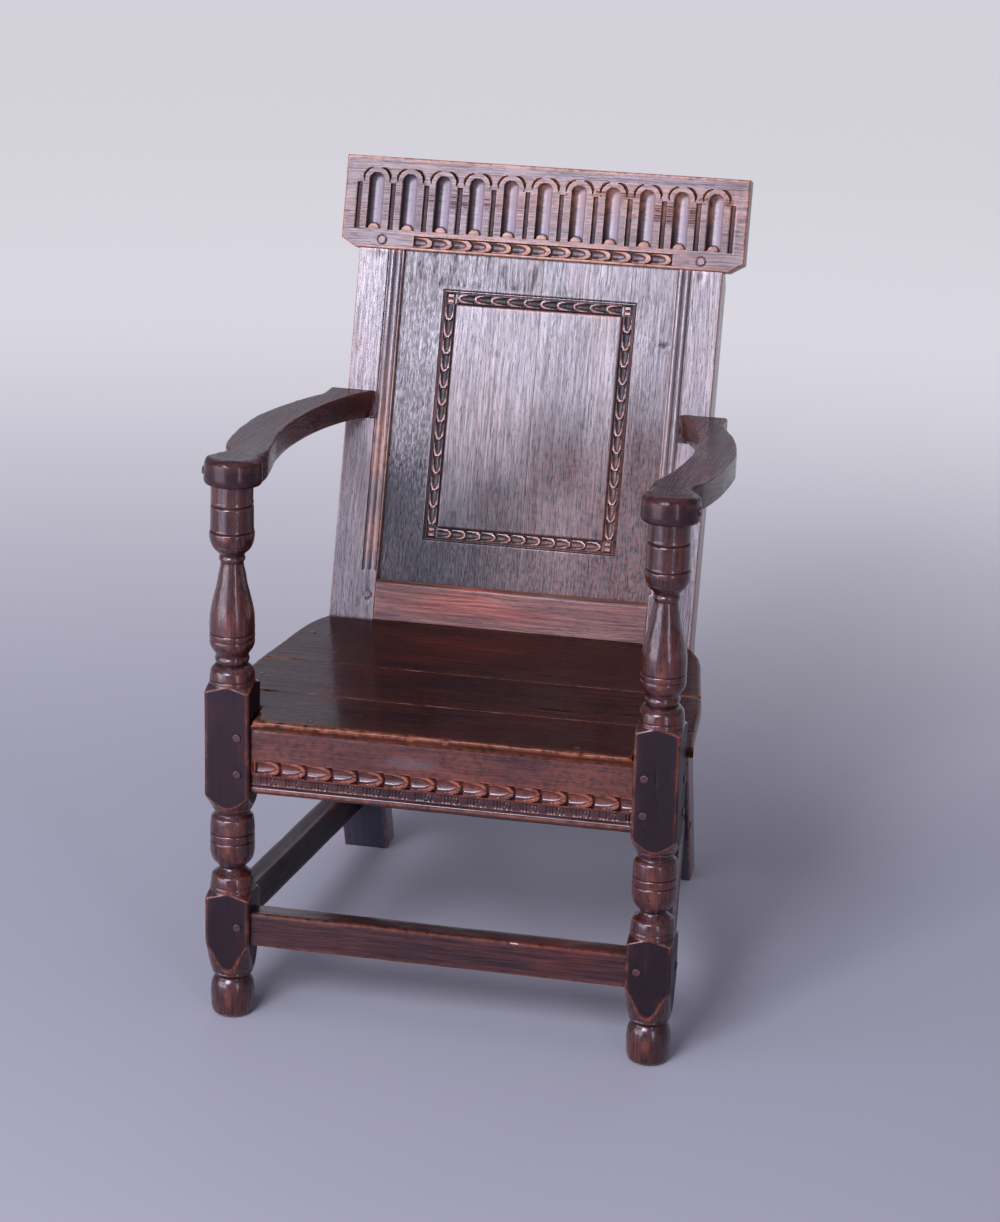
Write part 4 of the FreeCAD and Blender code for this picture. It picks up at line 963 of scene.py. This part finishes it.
def armPiece(name, node, mirror, seed):
    across = np.concatenate([[-1, -0.985, -0.95, -0.89], np.linspace(-0.8, 0.8, 17), [0.89, 0.95, 0.985, 1]])
    tip = arm["headPlace"] - arm["head"]
    turn = np.linspace(0.04, math.pi / 2, 16)
    along = np.concatenate([[tip + 0.02], arm["headPlace"] - arm["head"] * np.cos(turn),
                            ruled([arm["headPlace"] + 2, 70, arm["end"]], [1.6, 4.0])])
    mesh = board(name, across, along, armFace, arm["thick"], sided(armPlace, mirror), bend=armBend,
                 arris=armArris, behind=5.0, lengthwise=False, waves=0.6, seed=seed, knot=armKnot, rubbed=0.18)
    settled(name, mesh, "oak_arms", node)


armPiece("armRight", "arm_right", False, 12)
armPiece("armLeft", "arm_left", True, 13)
print("arms bowed")

# Front posts, turned between square blocks
post = {
    "sides": 144, "arris": 26.0, "blend": 44.0, "dullAndShaded": 0.95, "warm": 0.1,
    "turning": ((0, 18), (3.2, 25.3), (12.8, 27.6), (30.9, 28.5), (43.4, 27), (49.2, 24.8), (54.3, 21.9),
                (60, 26.5), (64, 27.8), (76, 31), (88.5, 33.7), (110, 42), (140, 60), (160, 50),
                (166.7, 41.5), (175, 29.2),
                (180.6, 28.6), (194.8, 26.2), (199.3, 21.1), (206.4, 15.9), (211.6, 21.4), (218.7, 26.4),
                (229.4, 28.6), (254.2, 28.6), (273.5, 27.3), (280.5, 22.2), (286.7, 25.1), (299, 32), (313, 42),
                (350, 60), (420, 60), (447.5, 42), (457, 29), (460.7, 28.8), (471.9, 27.6), (477.9, 23.8),
                (481.6, 19.2), (484.6, 21.1), (488.6, 22.0), (492.6, 20.6), (497, 22.4), (503, 26.4), (510, 28.5),
                (528.6, 28.6), (543.4, 28.2), (558, 26.1), (572.8, 22.7), (586.4, 19.3), (599.8, 17.1),
                (612, 14.9), (615.5, 14.7), (618, 16.4), (621, 16.6), (624, 15.4), (626.8, 17.2), (633.5, 23.4),
                (642, 27.2), (651, 28.5), (655.8, 28.4), (660, 27.2), (692.8, 27.2), (696, 26.5), (720, 26.5)),
    "grooves": ((242.7, 0.9, 1.5), (254.2, 0.9, 1.5), (514.5, 0.8, 1.3), (522.9, 0.8, 1.3), (656.2, 1.0, 1.8),
                (181.0, 0.7, 0.9), (461.5, 0.7, 0.9), (290.0, 0.7, 0.9), (61.5, 0.7, 0.9), (690.0, 1.4, 1.9),
                (638.0, 0.6, 0.6)),
    "pegs": ((-14.0, 391.0), (-14.0, 342.0), (-14.0, 131.0)),
}


def postPiece(name, node, mirror, seed):
    p = post
    levels = ruled([-1.5, 0, 100, 112, 160, 184, 302, 318, 440, 464, 664, 692, 716.5],
                   [0.5, 1.1, 1.6, 3.5, 0.9, 1.0, 1.2, 3.8, 0.9, 1.0, 1.0, 1.0])
    a = np.linspace(0, 2 * math.pi, p["sides"], endpoint=False)
    a = a + 0.5 * np.sin(4 * a) / 4
    turn, level = np.meshgrid(a, levels, indexing="ij")
    cos, sin = np.cos(turn), np.sin(turn)
    shaped = np.stack([cos * 30, sin * 30, level], -1)
    dings = 1 + 0.10 * lumps(shaped, 9, seed) + 0.2 * lumps(shaped, 33, seed + 1)
    square = (halfPost - 0.25 * (0.5 + 0.5 * lumps(shaped, 45, seed + 2))) / (
        np.abs(cos) ** p["arris"] + np.abs(sin) ** p["arris"]) ** (1 / p["arris"])
    square = np.minimum(square, 40.0 - 0.9 * dings)
    radius = through(np.clip(levels, 0, 720), p["turning"])
    for place, wide, deep in p["grooves"]:
        radius = radius - dent(levels - place, wide, deep)
    radius = radius + 0.05 * np.sin(levels * 2.4)
    turned = radius[None, :] + 0.18 * lumps(shaped, 16, seed + 3)
    r = (square ** -p["blend"] + turned ** -p["blend"]) ** (-1 / p["blend"])
    x, y = r * cos, r * sin
    onFront = sin < -0.5
    for px, pz in p["pegs"]:
        y = y + np.where(onFront, pegRing(x - px, level - pz), 0)
    if not mirror:
        crack = dent(x - 3 - 5 * lumps(onLine(level), 22, seed + 5), 0.6, 1.6)
        y = y + np.where(onFront, crack * smooth(345, 365, level) * smooth(425, 400, level), 0)
    wide = np.minimum(square, turned)
    hollow = softened(wide, 7) - wide
    corner = np.exp(-(((40.5 - np.hypot(x, y)) / 1.8) ** 2)) * (turned > square)
    meeting = np.exp(-((square - turned) / 0.8) ** 2) * 0.5
    local = np.stack([x, y, level], -1)
    count, rows = level.shape
    index = np.arange(count * rows).reshape(count, rows)
    following = np.roll(index, -1, axis=0)
    faces = np.stack([index[:, :-1], following[:, :-1], following[:, 1:], index[:, 1:]], -1)
    faces = faces.reshape(-1, 4).tolist()
    faces += [index[::-1, 0].tolist(), index[:, -1].tolist()]
    # painted shade: the square blocks darker, and also less waxed
    dullAndShaded = p["dullAndShaded"] * (turned > square + 0.6) * (1 + 0.4 * lumps(shaped, 24, seed + 6))
    chipped = smooth(-0.35, 0.35, lumps(shaped, 13, seed + 7)) * 0.8 + 0.2
    warm = p["warm"] * (turned < square) * smooth(21, 27, turned)
    warm = warm * smooth(-0.3, 0.6, lumps(shaped, 15, seed + 8))
    wear = np.clip(corner * chipped + meeting + warm, 0, 1)
    marks = {"hollow": (hollow * 1.4 + dullAndShaded).ravel(), "wear": wear.ravel(),
             "knot": np.zeros(count * rows), "grain": local.reshape(-1, 3)[:, [2, 0, 1]] + seed * 137.0}
    placed = cutAtFloor(local.reshape(-1, 3) + [postAxis, 0, 0])
    under = chair["armUnderside"] - placed[:, 1] * tangent("armSlope") + 0.4
    placed[:, 2] = np.minimum(placed[:, 2], under)
    mesh = written(name, flipped(placed) if mirror else placed, faces, marks)
    settled(name, mesh, "oak_frame", node)


postPiece("frontPostRight", "front_post_right", False, 14)
postPiece("frontPostLeft", "front_post_left", True, 15)
print("front posts turned")


# Plain rails and stretchers: one tree for all of them
def newTree(name, inputs):  # each input has a name, a kind and a starting value
    tree = bpy.data.node_groups.new(name, "GeometryNodeTree")
    for label, kind, start in inputs:
        socket = tree.interface.new_socket(label, in_out="INPUT", socket_type="NodeSocket" + kind)
        if start is not None:
            socket.default_value = start
    tree.interface.new_socket("Geometry", in_out="OUTPUT", socket_type="NodeSocketGeometry")
    g = Recipe(tree)
    asked = tree.nodes.new("NodeGroupInput")
    return tree, g, [Socket(g, asked.outputs[k]) for k in range(len(inputs))]


def endTree(g, shape, finish):
    shape = g.node("GeometryNodeRealizeInstances", None, {"Geometry": shape})
    shape = g.node("GeometryNodeSetMaterial", None, {"Geometry": shape, "Material": finish})
    g.node("NodeGroupOutput", None, {"Geometry": shape})


def railTree():
    tree, g, (length, height, thickness, rounding, wander, seed, finish) = newTree("planedRail", (
        ("Length", "Float", 0.4), ("Height", "Float", 0.05), ("Thickness", "Float", 0.03),
        ("Rounding", "Float", 0.003), ("Wander", "Float", 0.0006), ("Seed", "Float", 0.0),
        ("Finish", "Material", None)))
    end = g.node("ShaderNodeCombineXYZ", None, {"X": length})
    line = g.node("GeometryNodeCurvePrimitiveLine", None, {"Start": (0, 0, 0), "End": end})
    line = g.node("GeometryNodeResampleCurve", None, {"Curve": line, "Count": 90})
    shape = g.node("GeometryNodeCurvePrimitiveQuadrilateral", None, {"Width": thickness, "Height": height})
    shape = g.node("GeometryNodeFilletCurve", {"mode": "POLY"}, {"Curve": shape, "Radius": rounding, "Count": 4})
    shape = g.node("GeometryNodeResampleCurve", {"mode": "LENGTH"}, {"Curve": shape, "Length": 0.0028})
    body = g.node("GeometryNodeCurveToMesh", None, {"Curve": line, "Profile Curve": shape, "Fill Caps": True})
    place = g.node("GeometryNodeInputPosition")
    offset = g.node("ShaderNodeCombineXYZ", None, {"X": seed, "Y": seed * 0.7, "Z": seed * 0.3})
    spot = g.vector("ADD", place, offset)
    shove = g.node("ShaderNodeTexNoise", None, {"Vector": spot, "Scale": 16.0, "Detail": 3.0}, "Color")
    shove = g.vector("SUBTRACT", shove, (0.5, 0.5, 0.5))
    size = g.node("ShaderNodeCombineXYZ", None, {"Y": wander * 2.0, "Z": wander * 2.0})
    shove = g.vector("MULTIPLY", shove, size)
    body = g.node("GeometryNodeSetPosition", None, {"Geometry": body, "Offset": shove})
    endTree(g, body, finish)
    return tree


def grown(name, tree, values, points=None, marks=None):  # the mesh that a tree makes from some points
    seedMesh = bpy.data.meshes.new(name + "Seed")
    seedMesh.from_pydata(points or [(0, 0, 0)], [], [])
    for label, rows in (marks or {}).items():
        marked(seedMesh, label, rows)
    holder = bpy.data.objects.new(name + "Seed", seedMesh)
    bpy.context.scene.collection.objects.link(holder)
    modifier = holder.modifiers.new("grow", "NODES")
    modifier.node_group = tree
    for item in tree.interface.items_tree:
        if item.in_out == "INPUT" and item.name in values:
            modifier[item.identifier] = values[item.name]
    seen = holder.evaluated_get(bpy.context.evaluated_depsgraph_get())
    mesh = bpy.data.meshes.new_from_object(seen)
    holder.modifiers.remove(modifier)
    bpy.data.objects.remove(holder)
    return mesh


def reshaped(mesh, place, grainOf, soilAndShade):  # a tree's mesh, from its own frame in metres into the row frame
    local = np.array([v.co for v in mesh.vertices], float) * 1000
    faces = [list(p.vertices) for p in mesh.polygons]
    size = np.abs(local[:, 1:])
    far = size.max(0)
    near = np.exp(-(((far[0] - size[:, 0]) + (far[1] - size[:, 1])) / 4.0) ** 2)
    # the faces darkened away from the worn edges: painted shade
    marks = {"hollow": soilAndShade * (1 - near), "wear": near * 0.8, "knot": np.zeros(len(local)),
             "grain": grainOf(local)}
    return written(mesh.name, place(local), faces, marks)


planedRail = railTree()
bars = {"stretcherLow": 103.0, "stretcherHeight": 46.0, "sideSetback": 6.0, "sideThick": 26.0, "wander": 0.0009,
        "soilAndShade": 0.9}
stretcherMiddle = bars["stretcherLow"] + bars["stretcherHeight"] / 2
railMiddle = (chair["railBottom"] + chair["railTop"]) / 2
railHeight = chair["railTop"] - chair["railBottom"]


def bar(name, node, start, end, middle, height, thick, rounding, seed, mirror=False, stop=None):
    run = math.hypot(end[0] - start[0], end[1] - start[1])
    mesh = grown(name, planedRail, {"Length": run / 1000, "Height": height / 1000, "Thickness": thick / 1000,
                                    "Rounding": rounding / 1000, "Wander": bars["wander"],
                                    "Seed": float(seed), "Finish": finishes["oak_frame"]})
    local = np.array([v.co for v in mesh.vertices], float) * 1000
    upright = np.ptp(local[:, 2]) > np.ptp(local[:, 1])
    if (height > thick) != upright:
        for v in mesh.vertices:
            v.co = (v.co.x, v.co.z, v.co.y)
    way = np.array([end[0] - start[0], end[1] - start[1]]) / run

    def place(points):
        x = start[0] + way[0] * points[:, 0] - way[1] * points[:, 1]
        y = start[1] + way[1] * points[:, 0] + way[0] * points[:, 1]
        z = middle + points[:, 2]
        if stop:
            y = np.minimum(y, stop(z))
        return np.stack([x, y, z], -1)

    # painted shade on the faces, strongest on the side rails and stretchers
    soilAndShade = bars["soilAndShade"] * (1.0 if stop else 0.3)
    mesh = reshaped(mesh, sided(place, mirror), lambda p: p + seed * 211.0, soilAndShade)
    mesh.name = name
    settled(name, mesh, "oak_frame", node)


def legFace(z):  # face of the rear legs at a height
    return seatDepth + np.maximum(0, chair["railBottom"] - z) * tangent("kick") + 3


tall, setback, sideThick = bars["stretcherHeight"], bars["sideSetback"], bars["sideThick"]
for name, node, reach, y, middle, height, thick, rounding, seed in (
        ("frontStretcher", "front_stretcher", blockInner, -4.0, stretcherMiddle, tall, 30.0, 3.5, 21),
        ("rearStretcher", "rear_stretcher", stileInner, 488.0, stretcherMiddle, tall, 24.0, 3.0, 22),
        ("rearSeatRail", "rear_seat_rail", stileInner, 417.0, railMiddle, railHeight, 28.0, 1.5, 23)):
    bar(name, node, (-reach - 2, y), (reach + 2, y), middle, height, thick, rounding, seed)
frontX = blockOuter - setback - sideThick / 2
rearX = stileOuter - setback - sideThick / 2
lowEnd = legFace(stretcherMiddle) + 12
lowX = frontX + (rearX - frontX) / (legFace(stretcherMiddle) - halfPost) * (lowEnd - halfPost)
for side, mirror, seed in (("Right", False, 24), ("Left", True, 26)):
    bar("sideStretcher" + side, "side_stretcher_" + side.lower(), (frontX, halfPost - 2), (lowX, lowEnd),
        stretcherMiddle, tall, sideThick, 3.0, seed, mirror, legFace)
    bar("sideSeatRail" + side, "side_seat_rail_" + side.lower(), (frontX, halfPost - 2), (rearX, seatDepth + 3),
        railMiddle, railHeight, sideThick, 1.5, seed + 1, mirror, legFace)
print("stretchers planed")


# Pegs: one riven peg on every point, turned to its direction
def pegTree():
    tree, g, (points, sides, seed, chamfer, finish) = newTree("rivenPegs", (
        ("Geometry", "Geometry", None), ("Sides", "Int", 9), ("Seed", "Int", 4), ("Chamfer", "Float", None),
        ("Finish", "Material", None)))
    rod = g.node("GeometryNodeMeshCylinder", None,
                 {"Vertices": sides, "Side Segments": 3, "Radius": 1.0, "Depth": 1.0})
    top = tree.nodes[-1].outputs["Top"]
    rod = g.node("GeometryNodeTransform", None, {"Geometry": rod, "Translation": (0, 0, -0.5)})
    head = g.node("GeometryNodeExtrudeMesh", None,
                  {"Mesh": rod, "Selection": Socket(g, top), "Offset Scale": 0.006})
    crown = tree.nodes[-1].outputs["Top"]
    head = g.node("GeometryNodeScaleElements", None,
                  {"Geometry": head, "Selection": Socket(g, crown), "Scale": chamfer})
    way, size = (g.node("GeometryNodeInputNamedAttribute", {"data_type": "FLOAT_VECTOR"}, {"Name": label})
                 for label in ("way", "size"))
    spin = g.node("FunctionNodeRandomValue", {"data_type": "FLOAT"}, {"Max": 6.28, "Seed": seed}, 1)
    aim = g.node("FunctionNodeAlignRotationToVector", {"axis": "Z"}, {"Vector": way})
    twist = g.node("FunctionNodeAxisAngleToRotation", None, {"Axis": (0, 0, 1), "Angle": spin})
    aim = g.node("FunctionNodeRotateRotation", {"rotation_space": "LOCAL"},
                 {"Rotation": aim, "Rotate By": twist})
    made = g.node("GeometryNodeInstanceOnPoints", None,
                  {"Points": points, "Instance": head, "Rotation": aim, "Scale": size})
    endTree(g, made, finish)
    return tree


peg = {"radius": 5.2, "proud": 1.2, "front": 44.0, "side": 26.0, "rear": 36.0, "crest": 29.0, "arm": 46.0,
       "head": 52.0, "seat": (30.0, 4.0, 0.2), "inset": 15.0, "sideInset": 12.5}
spots = []  # place, direction out of the wood, radius, length, proud


def driven(place, way, length, radius=peg["radius"], proud=peg["proud"]):
    spots.append((tuple(place), way, radius, length, proud))


kick, rake = math.radians(chair["kick"]), math.radians(chair["rake"])
frontX, rearX = blockInner + peg["inset"], stileInner + peg["inset"]
sideY, rearY = halfPost - peg["sideInset"], peg["sideInset"]
lowFace = seatDepth + (chair["railBottom"] - stretcherMiddle) * tangent("kick")
for level in (342.0, 391.0, 131.0):
    driven((frontX, -halfPost, level), (0, -1, 0), peg["front"])
for level in (334.0, 378.0):
    driven((blockOuter, sideY, level), (1, 0, 0), peg["side"])
    driven((stileOuter, seatDepth + rearY, level), (1, 0, 0), peg["side"])
    driven((rearX, seatDepth + 48, level), (0, 1, 0), peg["rear"])
driven((blockOuter, sideY, stretcherMiddle), (1, 0, 0), peg["side"])
driven((stileOuter, lowFace + rearY, stretcherMiddle), (1, 0, 0), peg["side"])
driven((rearX, lowFace + 47 / math.cos(kick), stretcherMiddle), (0, math.cos(kick), math.sin(kick)),
       peg["rear"])
outOfBack = (0, -math.cos(rake), math.sin(rake))
driven(onBack([crest["pegs"][0], 0, crest["pegs"][1]]), outOfBack, peg["crest"])
driven(onBack([stile["peg"][0], 0, stile["peg"][1]]), outOfBack, peg["front"])
driven(onArm([arm["head"], 0, 16.0]), (1, 0, 0), peg["head"])
shoulder = onArm([-46.0, 495.0, 18.0])
driven((stileOuter, shoulder[1] + 10, shoulder[2]), (1, 0, 0), peg["arm"])
for x, y in seat["pegs"]:
    driven((x, y, seatHeight - 0.4), (0, 0, 1), *peg["seat"])
spots += [((-s[0][0], s[0][1], s[0][2]), (-s[1][0], s[1][1], s[1][2])) + s[2:] for s in spots]
heads = [tuple(toFloor(np.array(s[0]) + np.array(s[1]) * s[4]) / 1000) for s in spots]
ways = [leaned(np.array(s[1], float), chair["lean"]) for s in spots]
sizes = [(s[2] / 1000, s[2] / 1000, (s[3] + s[4]) / 1000) for s in spots]
mesh = grown("pegs", pegTree(), {"Sides": 9, "Seed": 4, "Chamfer": 0.86, "Finish": finishes["oak_pegs"]},
             heads, {"way": ways, "size": sizes})
mesh.name = "pegs"
corners = np.array([v.co for v in mesh.vertices]) * 1000
tall = corners[:, 2]
inBack = 0.9 * (tall > 850) + 0.5 * ((tall > 415) & (tall < 500))
for label, values in (("grain", corners[:, [1, 0, 2]]), ("hollow", np.zeros(len(corners))),
                      ("wear", np.full(len(corners), 0.06)), ("knot", inBack)):
    marked(mesh, label, values)
settled("pegs", mesh, "oak_pegs", *[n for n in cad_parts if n.endswith("_pegs")])
print("pegs driven")

# Studio
studio = {
    "floor": (0.34, 0.335, 0.385), "farFloor": (0.76, 0.74, 0.80), "farGlow": 0.8, "fade": (2.8, 5.8),
    "ringCentre": (0.0, -3.0, 0.0), "reach": 30.0,
    "world": (0.74, 0.72, 0.95), "worldLight": 0.26, "tint": (0.88, 0.87, 1.0),
    "lamps": {"keyBox": ((-1.3, -3.95, 3.45), (2.1, 1.8), 235.0),
              "windowBox": ((-2.8, -2.8, 1.35), (3.8, 1.9), 92.0),
              "lowBox": ((-1.7, -2.2, 0.34), (1.9, 0.6), 13.0),
              "stripBox": ((1.9, -2.9, 1.0), (0.35, 2.0), 20.0), "topBox": ((0.3, -0.2, 3.4), (2.4, 2.4), 12.0),
              "rearBox": ((0.0, 2.9, 2.1), (4.6, 2.4), 22.0)},
    "azimuth": 11.943, "elevation": 18.960, "roll": 1.2535, "distance": 4444.38, "focal": 3436.68,
    "centre": (464.439, 600.194), "target": (-21.611, 210.0, 517.586), "frame": (1000, 1222),
}


def aimed(light, place, target):
    light.location = place
    light.rotation_euler = (Vector(target) - Vector(place)).to_track_quat("-Z", "Y").to_euler()


def softbox(name, place, size, power):
    lamp = bpy.data.lights.new(name, "AREA")
    lamp.shape, lamp.size, lamp.size_y = "RECTANGLE", size[0], size[1]
    lamp.energy, lamp.color = power, studio["tint"]
    light = bpy.data.objects.new(name, lamp)
    light.visible_camera = False
    bpy.context.scene.collection.objects.link(light)
    aimed(light, place, (0, 0, 0.5))


def paleFloor():  # flat, and paler beyond the ring that the lamps light
    reach = studio["reach"]
    mesh = bpy.data.meshes.new("floor")
    mesh.from_pydata([(-reach, -reach, 0), (reach, -reach, 0), (reach, reach, 0), (-reach, reach, 0)], [],
                     [(0, 1, 2, 3)])
    material = bpy.data.materials.new("paleFloor")
    material.use_nodes = True
    material.node_tree.nodes.clear()
    b = Recipe(material.node_tree)
    spot = b.vector("SUBTRACT", b.node("ShaderNodeTexCoord", None, None, "Object"), studio["ringCentre"])
    away = b.node("ShaderNodeVectorMath", {"operation": "LENGTH"}, {0: spot}, "Value")
    far = b.band(away, *studio["fade"])
    tone = b.mix(far, studio["floor"], studio["farFloor"])
    plain = b.node("ShaderNodeBsdfPrincipled", None,
                   {"Base Color": tone, "Roughness": 0.8, "Specular IOR Level": 0.2}, "BSDF")
    path = [b.node("ShaderNodeLightPath", None, None, "Is %s Ray" % kind)
            for kind in ("Camera", "Glossy", "Transmission")]
    seen = b.held(path[0] + path[1] + path[2]) * far * studio["farGlow"]
    glow = b.node("ShaderNodeEmission", None, {"Color": tone, "Strength": 1.0})
    shader = b.node("ShaderNodeMixShader", None, {0: seen, 1: plain, 2: glow})
    b.node("ShaderNodeOutputMaterial", None, {"Surface": shader})
    mesh.materials.append(material)
    floor = bpy.data.objects.new("floor", mesh)
    bpy.context.scene.collection.objects.link(floor)


def madeCamera():
    s = studio
    az, el, roll = (math.radians(s[k]) for k in ("azimuth", "elevation", "roll"))
    back = np.array([math.sin(az) * math.cos(el), -math.cos(az) * math.cos(el), math.sin(el)])
    place = np.array(s["target"]) + back * s["distance"]
    right = np.cross(-back, [0, 0, 1])
    right /= np.linalg.norm(right)
    up = np.cross(right, -back)
    right, up = right * math.cos(roll) + up * math.sin(roll), up * math.cos(roll) - right * math.sin(roll)
    axes = [leaned(v, chair["lean"]) for v in (right, up, back)]
    spot = toFloor(place) / 1000
    data = bpy.data.cameras.new("camera")
    wide, tall = s["frame"]
    data.sensor_width = 36.0
    data.sensor_fit = "AUTO"
    data.lens = s["focal"] * data.sensor_width / tall
    data.shift_x = (wide / 2 - s["centre"][0]) / tall
    data.shift_y = (s["centre"][1] - tall / 2) / tall
    data.clip_end = 100
    camera = bpy.data.objects.new("camera", data)
    bpy.context.scene.collection.objects.link(camera)
    rows = [[*(float(a[k]) for a in axes), float(spot[k])] for k in range(3)]
    camera.matrix_world = Matrix(rows + [[0, 0, 0, 1]])
    bpy.context.scene.camera = camera


def madeWorld():
    world = bpy.data.worlds.new("studio")
    bpy.context.scene.world = world
    world.use_nodes = True
    world.node_tree.nodes.clear()
    w = Recipe(world.node_tree)
    shader = w.node("ShaderNodeBackground", None,
                    {"Color": (*studio["world"], 1), "Strength": studio["worldLight"]})
    w.node("ShaderNodeOutputWorld", None, {"Surface": shader})


paleFloor()
for lamp, (place, size, power) in studio["lamps"].items():
    softbox(lamp, place, size, power)
madeWorld()
madeCamera()
bpy.context.scene.view_settings.view_transform = "Standard"
print("studio lit")
